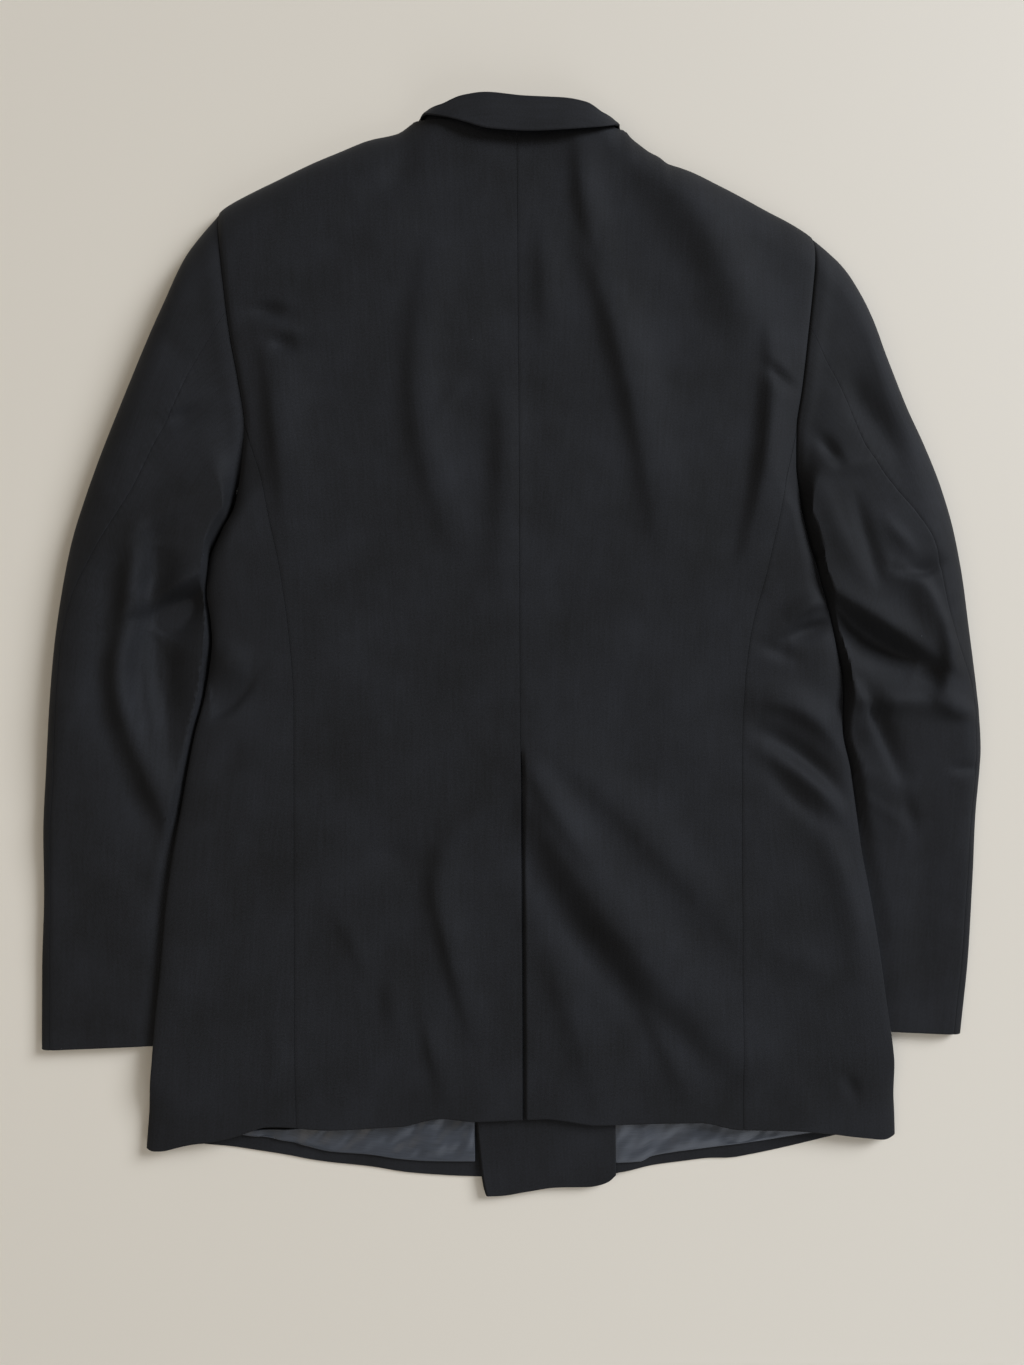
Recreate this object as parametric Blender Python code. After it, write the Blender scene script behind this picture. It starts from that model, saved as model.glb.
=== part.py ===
"""Double-breasted suit jacket laid on its fronts with the back up.

Lengths in the tables are millimetres. X runs across the shoulders, Y up to the collar, Z off the floor.
Distances named "out" are measured from the middle of the jacket to the side in hand.
"""
import bpy
import numpy as np

MM = 0.001
CLOTH = 1.5
SATIN = 1.0
SEAM = 0.2
PLY = 0.6
EDGE_GAP = 1.4
EDGE_ROLL = 4.5
FLOOR_LIFT = 3.5
SHOULDER_REST = 0.4
TUCK_TOP = 8.4
CENTRE_X = -4.0
VENT_TOP = -99.0
VENT_UNDERLAP = 40.0
VENT_DROP = 2.7
LAP_STEP = 20.0
SEAM_ROWS = 22
SHOULDER_POINT_OUT = 236.5
UNDERARM_Y = 105.0
BACK_POINT_Y = 172.0
FRONT_POINT_Y = 140.0
BUTTON_RADIUS = 10.0
BUTTON_DEPTH = 3.0
LEFT = -1
RIGHT = 1


def flow(at, knots, values):
    """Smooth curve through the knots that never swings past them."""
    x = np.asarray(knots, float)
    y = np.asarray(values, float)
    if x[0] > x[-1]:
        x = x[::-1]
        y = y[::-1]
    step = np.diff(x)
    slope = np.diff(y) / step
    tangent = np.zeros_like(y)
    same = slope[:-1] * slope[1:] > 0
    mean = 2 * slope[:-1] * slope[1:] / np.where(same, slope[:-1] + slope[1:], 1)
    tangent[1:-1] = np.where(same, mean, 0)
    tangent[0] = slope[0]
    tangent[-1] = slope[-1]
    q = np.clip(np.asarray(at, float), x[0], x[-1])
    i = np.clip(np.searchsorted(x, q) - 1, 0, len(x) - 2)
    h = step[i]
    t = (q - x[i]) / h
    rise = y[i] + t * t * (3 - 2 * t) * (y[i + 1] - y[i])
    return rise + h * t * (1 - t) * ((1 - t) * tangent[i] - t * tangent[i + 1])


def column(table, name):
    """One named column of a table whose first row holds the names."""
    return [row[table[0].index(name)] for row in table[1:]]


def read(table, key, name, at):
    return flow(at, column(table, key), column(table, name))


def ease(x, start, end):
    """0 before start, 1 after end, soft between."""
    t = np.clip((np.asarray(x, float) - start) / (end - start), 0, 1)
    return t * t * (3 - 2 * t)


def dome(depth, width):
    """Quarter round from 0 at the edge to 1 at the given width."""
    t = np.clip(1 - np.asarray(depth, float) / width, 0, 1)
    return np.sqrt(1 - t * t)


# Side edge of the laid body up to the under arm, then the armhole seam, outward from x = 0.
SIDE = (
    ("y", "left", "right"),
    (-390, 292, 294.5), (-374, 290.8, 294.3), (-361, 289.7, 293.8), (-344, 288, 292.8), (-320, 286, 291),
    (-281, 283, 286), (-241, 279, 281),
    (-202, 276, 275), (-162, 271, 268), (-122, 264, 263), (-98, 260, 260), (-66, 254, 254),
    (-34, 246, 255), (6, 241, 249), (21, 242, 246), (44, 245, 240), (70, 243, 234),
    (92, 235, 229), (105, 228, 226), (120, 223, 223), (145, 218, 218), (172, 215, 217),
    (203, 219, 221), (243, 226, 226), (284, 231, 231), (322, 235, 235), (345, 237, 237),
)
# Seam between back and side body.
BACK_SEAM = (
    ("y", "left", "right"),
    (-390, 177, 170), (-305, 178, 169), (-167, 178, 170), (-89, 178, 171), (-40, 178, 173),
    (5, 181, 178), (60, 188, 192), (100, 196, 201), (131, 202, 207), (150, 208, 212), (172, 215, 217),
)
# Seam between side body and front, hidden on the floor side.
FRONT_SEAM = (
    ("y", "left", "right"),
    (-390, 250, 252), (-250, 240, 242), (-100, 222, 222), (0, 206, 210), (60, 207, 206),
    (100, 211, 210), (140, 219, 219),
)
# Shoulder fold, closed over the neck so that the loft runs on to the neck seam.
SHOULDER = (
    ("x", "y"),
    (-250, 334), (-238, 345), (-228, 352), (-213, 360.5), (-197, 369), (-166, 384), (-142, 395),
    (-119, 405), (-103, 409), (-97, 411), (-91, 415), (-84, 421), (-76, 428), (-60, 445), (0, 470),
    (60, 445), (77, 423), (84.5, 418), (89, 412.5), (95, 407.5), (104, 401), (111, 397.5), (118, 392),
    (128, 389), (137, 386), (162, 374.5), (186, 363.5), (202, 355.5), (219, 347), (235, 337.5),
    (241, 333), (250, 324),
)
NECK = 86.0
NECK_Y = 409.0
NECK_SEAM = (
    ("x", "y"),
    (-88, 420.5), (-84, 417), (-80, 414.8), (-70, 412.6), (-60, 411.5), (-40, 410), (0, 409), (40, 410),
    (60, 411.5), (70, 412), (80, 413), (84, 415), (88, 418),
)
BACK_HEM = (
    ("x", "y"),
    (-293, -379), (-286, -381), (-278, -380.5), (-267, -378), (-256, -376), (-241, -374.5), (-219, -370),
    (-200, -365), (-151, -369), (-98, -368), (-68, -363), (-38, -366), (-4, -366), (25, -369), (56, -373),
    (135, -373), (166, -379), (214, -381), (243, -384), (256, -386), (272, -388), (284, -389.5), (295, -387),
)
LEFT_HEM = (
    ("x", "y"),
    (-293, -379), (-243, -384), (-229, -385.5), (-214, -388), (-184, -393.5), (-168, -396.5), (-153, -398.5),
    (-122, -401), (-91, -406.5), (-45, -410.5), (0, -414), (40, -416), (70, -417),
)
RIGHT_HEM = (
    ("x", "y"),
    (-36, -427), (-21, -427), (2, -424.4), (25, -422), (49, -422.5), (58, -421.2), (65, -417.7),
    (70, -411.5), (81, -409.9), (97, -407.4), (129, -404.5), (145, -403.3), (162, -404.1), (178, -402.3),
    (210, -397.1), (243, -391.8), (260, -389.5), (295, -386),
)
# Front edge of each front, then its roll line from the top of the closing to the neck.
LEFT_EDGE = (("y", "x"), (-425, 66), (-300, 69), (-20, 68), (10, 62), (398, -80))
RIGHT_EDGE = (
    ("y", "x"),
    (-430, -30.5), (-421, -33.5), (-395, -37), (-370, -39), (-300, -39), (-20, -38), (10, -33), (398, 80),
)
# Loft of the back along the middle, and the way the side edge lies.
LOFT = (
    ("y", "middle", "edge", "roll"),
    (-395, 12, 4.5, 26), (-362, 13, 5, 26), (-324, 16, 13.5, 28), (-250, 18, 13.5, 30),
    (-150, 19, 13.5, 30), (-60, 20, 13.5, 26), (-15, 21, 13.5, 22), (25, 22, 13.5, 20),
    (60, 24, 13.5, 18), (88, 25, 5.5, 16), (105, 26, 5.5, 16), (125, 27, 13, 24), (172, 28, 24, 34),
    (230, 30, 28, 40), (300, 30, 28, 40), (345, 30, 26, 40), (440, 29, 24, 40),
)
# Height of the sleeve tucked under the side of the body, and how far in its edge lies.
TUCK = (
    ("y", "height", "left", "right"),
    (-395, 0, 232, 212), (-362, 0, 232, 212), (-326, 9, 233, 213), (-247, 9, 236, 220),
    (-190, 9, 237, 226), (-140, 9, 238, 232), (-92, 9, 239, 238), (-20, 9, 238, 243),
    (25, 9, 238, 239), (56, 9, 238, 232), (84, 0, 238, 230), (110, 0, 228, 226),
)
# Folds as curves through three points: half width on each side of the curve, height, plan points.
BODY_FOLDS = (
    ("near", "far", "height", "x0", "y0", "x1", "y1", "x2", "y2"),
    (26, 16, 5.0, 1, -99, 61, -201, 162, -292),
    (20, 22, -3.0, -2, -125, 46, -218, 150, -322),
    (22, 14, 3.0, 53, 303, 77, 224, 102, 106),
    (26, 20, 4.0, 93, 384, 140, 332, 178, 249),
    (18, 12, 2.5, 195, 232, 192, 162, 177, 83),
    (20, 12, 3.0, -197, 235, -189, 174, -182, 97),
    (18, 14, 2.5, -69, 306, -82, 190, -56, 90),
    (16, 12, 2.0, -70, -195, -58, -235, -42, -290),
    (12, 12, -3.0, 186, -66, 220, -86, 252, -118),
    (10, 10, -3.0, 209, 7, 229, 15, 249, 18),
)
SLEEVE_FOLDS = (
    ("near", "far", "height", "x0", "y0", "x1", "y1", "x2", "y2"),
    (14, 12, 3.5, -328, 67, -290, 92, -231, 132),
    (13, 14, -4.0, -264, 76, -267, 55, -268, 36),
    (11, 15, -8.0, -286, 22, -266, 32, -245, 43),
    (14, 12, 5.0, -306, 60, -304, -39, -276, -107),
    (14, 14, -3.0, -317, 55, -321, 15, -319, -30),
    (14, 16, -2.5, -312, -78, -293, -104, -274, -142),
    (14, 16, 3.0, 285, 244, 303, 204, 320, 159),
    (10, 10, -3.0, 228, 175, 242, 165, 253, 151),
    (10, 10, -2.5, 237, 221, 243, 211, 250, 200),
    (14, 16, -8.0, 249, 30, 284, 2, 325, -18),
    (12, 8, 4.5, 318, 45, 336, 5, 330, -44),
    (12, 8, 3.5, 330, -44, 343, -52, 360, -54),
    (10, 10, -6.0, 266, -30, 281, -62, 297, -101),
)
# Sleeve rings from the armhole to the cuff, as it lies: outer edge, inner edge, elbow seam, loft.
LEFT_SLEEVE = (
    ("outer_out", "outer_y", "inner_out", "inner_y", "seam", "loft"),
    (237, 344.8, 228, 105, 0.64, 28), (262, 311, 232, 97, 0.60, 28), (280, 270, 236, 88, 0.59, 28),
    (296, 232, 240, 78, 0.60, 28), (311, 194, 240, 67, 0.63, 28), (326, 155, 239, 54, 0.67, 28),
    (339, 118, 239, 40, 0.73, 27), (350, 80, 238, 24, 0.81, 26), (357, 41, 238, 5, 0.90, 25),
    (362, 2, 238, -18, 0.93, 24), (365, -38, 238, -45, 0.93, 23), (367.5, -90, 238, -92, 0.93, 19),
    (369.5, -140, 238, -140, 0.94, 15), (368.8, -190, 237, -190, 0.95, 12), (370, -245, 236, -247, 0.95, 10),
    (369.8, -304, 234, -302, 0.95, 9),
)
RIGHT_SLEEVE = (
    ("outer_out", "outer_y", "inner_out", "inner_y", "seam", "loft"),
    (238, 335.8, 226, 105, 0.65, 28), (263.5, 311, 230, 96, 0.57, 28), (284, 273, 234, 86, 0.55, 28),
    (298, 234, 237, 74, 0.56, 28), (313, 196, 233, 61, 0.61, 28), (328, 164, 234, 48, 0.66, 28),
    (341, 131, 237, 34, 0.73, 28), (351, 95, 240, 18, 0.79, 28), (358, 55, 243, 0, 0.80, 27),
    (363, 12, 244, -20, 0.84, 25), (368, -35, 242, -47, 0.93, 23), (371, -80, 238, -92, 0.94, 19),
    (366, -135, 232, -140, 0.95, 15), (362.5, -190, 226, -190, 0.95, 12), (358, -248, 220, -247, 0.95, 10),
    (350, -311, 214, -302, 0.95, 9),
)
# Collar from the left notch round the neck to the right one: seam, roll line, leaf edge.
COLLAR = (
    ("seam_x", "seam_y", "seam_z", "roll_x", "roll_y", "roll_z", "leaf_x", "leaf_y", "leaf_z"),
    (-46, 313, 4.2, -40, 315, 2.6, -92, 324, 1.0),
    (-58.5, 344, 4.2, -52, 348, 2.6, -106, 352, 1.0),
    (-69.5, 374, 4.2, -63, 380, 2.6, -110, 376, 1.0),
    (-77.5, 395.5, 4.6, -72.5, 402, 3.2, -104, 393, 1.0),
    (-81, 403.5, 7.0, -76.5, 411, 6.5, -86, 408, 5),
    (-81, 411, 9, -77, 418.5, 11, -79.5, 418.5, 14.5),
    (-76, 411.5, 17.2, -73.5, 420, 20.5, -75.5, 416, 27),
    (-62, 409.5, 23.6, -63, 421, 28.5, -61, 411, 34),
    (-44, 408, 25.9, -46, 427.3, 31, -45, 405.5, 37.5),
    (-24, 407, 26, -26, 429.8, 32, -25, 400.3, 38.5),
    (2, 406.5, 26.1, 2, 427.8, 32, 2, 399.2, 38.5),
    (29, 407, 26, 31, 427.3, 32, 29, 400.9, 38.5),
    (46, 408, 25.9, 50, 425, 31, 47, 403.2, 37.5),
    (62, 409.3, 23.4, 64, 418.5, 28, 64, 406.5, 35),
    (77, 410, 15, 75, 417, 18.5, 76.5, 412.3, 27),
    (81, 408.5, 8.5, 77, 416, 10.5, 79.5, 416.5, 14),
    (81, 401.5, 7.0, 77, 409, 6.5, 86, 404.5, 5),
    (77.5, 395.5, 4.6, 72.5, 402, 3.2, 104, 390, 1.0),
    (69.5, 374, 4.2, 63, 380, 2.6, 110, 376, 1.0),
    (58.5, 344, 4.2, 52, 348, 2.6, 106, 352, 1.0),
    (46, 313, 4.2, 40, 315, 2.6, 92, 324, 1.0),
)
COLLAR_BEND = 1.5
# Lapel: share of the roll line, width turned out under the front.
LAPEL = (("share", "width"), (0.0, 5), (0.2, 40), (0.4, 74), (0.6, 102), (0.74, 116))
LAPEL_TOP = 0.76
LAPEL_PEAK = 0.74
PEAK_RISE = 34.0
ROLL_FOOT_Y = -20.0
ROLL_RISE = 418.0
# Lower edge of the lining on each front.
LEFT_LINING = (
    ("x", "y"),
    (-222, -372), (-183, -381), (-153, -390), (-122, -394), (-100, -398), (-76, -401), (-41, -403),
)
RIGHT_LINING = (
    ("x", "y"),
    (69, -404), (89, -404), (98, -400.5), (148, -395), (171, -393), (222, -387), (240, -385),
)
INSIDE_TOP = -300.0
INSIDE_GAP = 1.3
FACING_EDGE = 69.0
# Buttons of the outer front: two columns of three.
BUTTONS = (("x", "y"), (46, -28), (46, -118), (46, -208), (-62, -28), (-62, -118), (-62, -208))
BUTTON_SIDES = 14

# Principled base colour, roughness.
SUITING = ("worsted_wool", (0.013, 0.0135, 0.015), 0.82)
SATEEN = ("lining_satin", (0.07, 0.083, 0.105), 0.45)
HORN = ("button_resin", (0.012, 0.012, 0.013), 0.35)


def name_of(side):
    return "left" if side == LEFT else "right"


def side_out(y, side):
    return read(SIDE, "y", name_of(side), y)


def tuck_lift(x, y, side):
    """Height that the tucked sleeve gives the body's floor side."""
    height = read(TUCK, "y", "height", y)
    inner = read(TUCK, "y", name_of(side), y)
    return height * ease(side * x, inner - 34, inner - 5)


def floor_side(x, y):
    """Outer face of the fronts: flat on the floor, lifted over lapels, buttons and tucked sleeves."""
    middle = FLOOR_LIFT * (1 - ease(np.abs(x), 160, 200)) * ease(y, -345, -235)
    return middle + tuck_lift(x, y, LEFT) + tuck_lift(x, y, RIGHT)


def folds(table, x, y):
    """Sum of the soft folds of a table at plan points."""
    total = np.zeros(np.shape(x))
    steps = np.linspace(0, 1, 25)
    for near, far, height, x0, y0, x1, y1, x2, y2 in table[1:]:
        cx = (1 - steps) ** 2 * x0 + 2 * steps * (1 - steps) * (2 * x1 - (x0 + x2) / 2) + steps ** 2 * x2
        cy = (1 - steps) ** 2 * y0 + 2 * steps * (1 - steps) * (2 * y1 - (y0 + y2) / 2) + steps ** 2 * y2
        gap = np.hypot(np.subtract.outer(x, cx), np.subtract.outer(y, cy))
        nearest = gap.argmin(-1)
        beyond = steps[nearest]
        side = (x - cx[nearest]) * (y2 - y0) - (y - cy[nearest]) * (x2 - x0)
        width = np.where(side > 0, far, near)
        taper = 0.35 + 0.65 * np.sin(np.pi * beyond)
        total += height * taper * np.exp(-(gap.min(-1) / width) ** 2)
    return total


def back_height(x, y, folded=1.0):
    """Outer face of the back above the floor."""
    side = np.where(np.asarray(x) < 0, LEFT, RIGHT)
    out = np.where(side == LEFT, side_out(y, LEFT), side_out(y, RIGHT))
    depth = out - np.abs(x)
    middle = read(LOFT, "y", "middle", y)
    edge = read(LOFT, "y", "edge", y)
    roll = read(LOFT, "y", "roll", y)
    crest = middle + folded * folds(BODY_FOLDS, x, y)
    height = edge + (crest - edge) * dome(depth, roll)
    fall = (flow(x, column(SHOULDER, "x"), column(SHOULDER, "y")) - y) * 0.9
    end = floor_side(x, y) + SHOULDER_REST
    return end + (height - end) * dome(fall, 38)


def body_under(x, y, side):
    """Outer face of the side body on the floor side, rolled up at the side edge."""
    depth = side_out(y, side) - side * x
    flat = floor_side(x, y)
    edge = np.where(y < UNDERARM_Y, read(LOFT, "y", "edge", y), 5.5 * (1 - ease(y, 105, 130)))
    return flat + (edge - flat) * (1 - dome(depth, 7))


def spread(left, right, bottom, top, rows, cols):
    """Plan grid between four border lines given as functions of 0..1."""
    t = np.asarray(rows, float)[:, None, None]
    s = np.asarray(cols, float)[None, :, None]
    l = np.array([left(v) for v in rows])[:, None, :]
    r = np.array([right(v) for v in rows])[:, None, :]
    b = np.array([bottom(v) for v in cols])[None, :, :]
    u = np.array([top(v) for v in cols])[None, :, :]
    c00, c10 = np.array(left(0.0)), np.array(right(0.0))
    c01, c11 = np.array(left(1.0)), np.array(right(1.0))
    b = b + (c00 - b[:, :1]) * (1 - s) + (c10 - b[:, -1:]) * s
    u = u + (c01 - u[:, :1]) * (1 - s) + (c11 - u[:, -1:]) * s
    corners = (1 - s) * (1 - t) * c00 + s * (1 - t) * c10 + (1 - s) * t * c01 + s * t * c11
    return (1 - s) * l + s * r + (1 - t) * b + t * u - corners


def between(a, b):
    """Straight border from a to b."""
    return lambda s: (a[0] + (b[0] - a[0]) * s, a[1] + (b[1] - a[1]) * s)


def lift(plan, height):
    x = plan[..., 0]
    y = plan[..., 1]
    return np.stack([x, y, height(x, y)], -1)


def face_normals(grid):
    """Unit normals of a grid of points, one-sided at its borders."""
    down = np.gradient(grid, axis=0)
    across = np.gradient(grid, axis=1)
    normal = np.cross(across, down)
    return normal / np.linalg.norm(normal, axis=-1, keepdims=True)


def solid(name, outer, inner, material):
    """Closed wall between two grids of points that face each other."""
    rows, cols = outer.shape[:2]
    count = rows * cols
    points = np.concatenate([outer.reshape(-1, 3), inner.reshape(-1, 3)]) * MM
    faces = []

    def at(i, j):
        return i * cols + j

    for i in range(rows - 1):
        for j in range(cols - 1):
            ring = (at(i, j), at(i, j + 1), at(i + 1, j + 1), at(i + 1, j))
            faces.append(ring)
            faces.append(tuple(k + count for k in reversed(ring)))
    rim = [at(0, j) for j in range(cols)]
    rim += [at(i, cols - 1) for i in range(1, rows)]
    rim += [at(rows - 1, j) for j in range(cols - 2, -1, -1)]
    rim += [at(i, 0) for i in range(rows - 2, 0, -1)]
    for a, b in zip(rim, rim[1:] + rim[:1]):
        faces.append((b, a, a + count, b + count))
    return mesh(name, points, faces, material)


def mesh(name, points, faces, material):
    data = bpy.data.meshes.new(name)
    data.from_pydata([tuple(p) for p in points], [], faces)
    data.validate()
    data.update()
    body = bpy.data.objects.new(name, data)
    bpy.context.scene.collection.objects.link(body)
    body.data.materials.append(material)
    return body


def squared(grid, normals):
    """Normals whose first and last column stand square to their border, so that seams stay parallel."""
    out = normals.copy()
    for edge in (0, -1):
        run = np.gradient(grid[:, edge], axis=0)
        across = np.stack([run[:, 1], -run[:, 0], 0 * run[:, 0]], -1)
        across /= np.linalg.norm(across, axis=-1, keepdims=True)
        lean = normals[:, edge]
        upright = lean - (lean * across).sum(-1, keepdims=True) * across
        out[:, edge] = upright / np.maximum((upright * lean).sum(-1, keepdims=True), 0.5)
    return out


def wall(name, outer, thickness, material):
    """Cloth wall inside a grid of outer points; the grid's normals point out of the cloth."""
    return solid(name, outer, outer - squared(outer, face_normals(outer)) * thickness, material)


def paint(look):
    name, colour, roughness = look
    material = bpy.data.materials.new(name)
    material.use_nodes = True
    shader = material.node_tree.nodes["Principled BSDF"]
    shader.inputs["Base Color"].default_value = (*colour, 1.0)
    shader.inputs["Roughness"].default_value = roughness
    shader.inputs["Metallic"].default_value = 0.0
    return material


def evenly(start, end, count):
    return list(np.linspace(start, end, count))


def hem_y_at(x):
    return float(read(BACK_HEM, "x", "y", x))


def seam_foot(side):
    """Height of the hem at the foot of the back seam."""
    return hem_y_at(side * read(BACK_SEAM, "y", name_of(side), -372))


def shoulder_y(x):
    return float(read(SHOULDER, "x", "y", x))


def back_panel(side, cloth):
    """Back from the hem to the shoulder; the right one runs on under the left below the vent top."""
    label = name_of(side)
    seam = column(BACK_SEAM, label)
    seam_y = column(BACK_SEAM, "y")
    hem_side = seam_foot(side)
    top_y = shoulder_y(side * SHOULDER_POINT_OUT)

    def outer(t):
        y = hem_side + (top_y - hem_side) * t
        out = flow(y, seam_y, seam) if y < BACK_POINT_Y else side_out(y, side)
        return side * (out - SEAM), y

    def centre(t):
        y = -366 + (NECK_Y + 366) * t
        x = CENTRE_X + SEAM * side if side == LEFT else CENTRE_X + LAP_STEP
        return x, y

    def hem(s):
        a = outer(0.0)[0]
        x = a + (centre(0.0)[0] - a) * s
        return x, hem_y_at(x)

    def head(s):
        a = outer(1.0)[0]
        x = a + (centre(1.0)[0] - a) * s
        table = SHOULDER if side * x > NECK + 0.1 else NECK_SEAM
        return x, flow(x, column(table, "x"), column(table, "y"))

    def height(x, y):
        z = back_height(x, y)
        if side == RIGHT:
            beside = 1 - ease(x, CENTRE_X + 3, CENTRE_X + LAP_STEP)
            z = z - VENT_DROP * beside * (1 - ease(y, VENT_TOP + 4, VENT_TOP + 26))
        return z

    reach = top_y - hem_side
    seam_reach = BACK_POINT_Y - hem_side
    rows = [seam_reach / reach * k / SEAM_ROWS for k in range(SEAM_ROWS + 1)]
    rows += evenly(seam_reach / reach, 1 - 54 / reach, 6)[1:]
    rows += [1 - d / reach for d in (36, 22, 12, 5, 1.2, 0)]
    corner = outer(1.0)[0]
    across = corner - centre(1.0)[0]
    cols = evenly(0, (corner - side * NECK) / across, 7)
    cols += [(corner - side * x) / across for x in (78.5, 58, 31)] + [1]
    plan = spread(outer, centre, hem, head, rows, cols)
    if side == RIGHT:
        plan = np.concatenate([plan, underlap(plan[:, -1])], 1)
    grid = lift(plan, height)
    if side == RIGHT:
        grid = grid[:, ::-1]
    return wall("back_" + label, grid, CLOTH, cloth)


def underlap(border):
    """Columns from the last one of the right back to the centre seam, or under the vent below it."""
    y = border[:, 1]
    lap = 1 - ease(y, VENT_TOP - 42, VENT_TOP + 2)
    columns = []
    for above, below in ((LAP_STEP - 6, 7), (LAP_STEP - 12, 1.5), (5, -18), (SEAM, -VENT_UNDERLAP)):
        x = CENTRE_X + above + (below - above) * lap
        columns.append(np.stack([x, y], -1))
    return np.stack(columns, 1)


def side_panel(side, cloth):
    """Side body: back seam, round the side edge, to the front seam on the floor side."""
    label = name_of(side)
    hem_y = hem_y_at(side * 289)
    foot = seam_foot(side)

    def seam_line(t):
        y = foot + (BACK_POINT_Y - foot) * t
        return side * (read(BACK_SEAM, "y", label, y) + SEAM), y

    def edge_line(t):
        y = hem_y + (UNDERARM_Y - hem_y) * t
        return side * (side_out(y, side) - SEAM), y

    def under_line(t):
        y = hem_y + (FRONT_POINT_Y - hem_y) * t
        return side * (read(FRONT_SEAM, "y", label, y) + SEAM), y

    def hem(s):
        x = seam_line(0.0)[0] * (1 - s) + edge_line(0.0)[0] * s
        return x, hem_y_at(x)

    def hem_under(s):
        x = edge_line(0.0)[0] * (1 - s) + under_line(0.0)[0] * s
        return x, hem_y

    def arm(s):
        y = BACK_POINT_Y + (UNDERARM_Y - BACK_POINT_Y) * s
        return side * (side_out(y, side) - SEAM), y

    def arm_under(s):
        y = UNDERARM_Y + (FRONT_POINT_Y - UNDERARM_Y) * s
        return side * (side_out(y, side) - SEAM), y

    rows = evenly(0, 1, SEAM_ROWS + 1)
    over_cols = (0, 0.22, 0.42, 0.58, 0.72, 0.83, 0.92, 0.975, 1)
    below_cols = (0, 0.03, 0.09, 0.2, 0.45, 0.7, 1)
    over = spread(seam_line, edge_line, hem, arm, rows, over_cols)
    below = spread(edge_line, under_line, hem_under, arm_under, rows, below_cols)
    top = lift(over, back_height)
    bottom = lift(below, lambda x, y: body_under(x, y, side))
    grid = np.concatenate([top, bottom[:, 1:]], 1)
    if side == LEFT:
        grid = grid[:, ::-1]
    return wall("side_" + label, grid, CLOTH, cloth)


def sleeve_rings(side, rows):
    """Sizes of the sleeve's rings: its edges, seam and loft at each row."""
    table = LEFT_SLEEVE if side == LEFT else RIGHT_SLEEVE
    v = np.asarray(rows, float)
    at = {name: flow(v, evenly(0, 1, len(table) - 1), column(table, name)) for name in table[0]}
    edge_out = side_out(at["inner_y"], side)
    beside = edge_out + EDGE_GAP
    at["inner_out"] = at["inner_out"] + (beside - at["inner_out"]) * ease(at["inner_y"], 54, 80)
    at["cover"] = np.maximum(edge_out - at["inner_out"], 0)
    at["width"] = np.hypot(at["outer_out"] - at["inner_out"], at["outer_y"] - at["inner_y"])
    at["head"] = 1 - ease(v, 0.0, 0.16)
    at["tucked"] = ease(v, 0.12, 0.24)
    at["roll"] = 14 + 22 * (1 - ease(v, 0.4, 0.9))
    at["start"] = np.clip(1 - v / 0.12, 0, 1)
    return at


def sleeve_top(side, at, x, y, s, armhole_y):
    """Outer face of the sleeve above the floor, low where it goes on under the body."""
    inside = s * at["width"]
    outside = (1 - s) * at["width"]
    crest = at["loft"] + folds(SLEEVE_FOLDS, x, y) * (1 - at["head"])
    low = EDGE_ROLL + (TUCK_TOP - EDGE_ROLL) * dome(inside, 8)
    under = low + np.maximum(crest - low, 0.6) * ease(inside, at["cover"] + 3, at["cover"] + 30)
    beside = EDGE_ROLL + (crest - EDGE_ROLL) * dome(inside, 18)
    z = beside + (under - beside) * at["tucked"]
    z = EDGE_ROLL + (z - EDGE_ROLL) * dome(outside, at["roll"])
    body = np.maximum(back_height(side * side_out(armhole_y, side), armhole_y), EDGE_ROLL)
    return z + (body - z) * at["head"]


def sleeve_grid(side, rows, places):
    """Outer points of the sleeve: places are (layer, share of the way from the inner edge)."""
    at = sleeve_rings(side, rows)
    shoulder = shoulder_y(side * SHOULDER_POINT_OUT)
    columns = []
    for layer, share in places:
        s = share * at["seam"] if share <= 1 else at["seam"] + (share - 1) * (1 - at["seam"])
        armhole_y = UNDERARM_Y + (shoulder - UNDERARM_Y) * s
        straight = (side_out(UNDERARM_Y, side) + EDGE_GAP) * (1 - s) + at["outer_out"][0] * s
        bow = side_out(armhole_y, side) + 2 * SEAM - straight
        x = side * (at["inner_out"] + (at["outer_out"] - at["inner_out"]) * s + bow * at["start"])
        y = at["inner_y"] + (at["outer_y"] - at["inner_y"]) * s
        if layer == "top":
            z = sleeve_top(side, at, x, y, s, armhole_y)
        else:
            z = EDGE_ROLL * (1 - dome(np.minimum(s, 1 - s) * at["width"], 6))
        columns.append(np.stack([x, y, z], -1))
    return np.stack(columns, 1)


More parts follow.
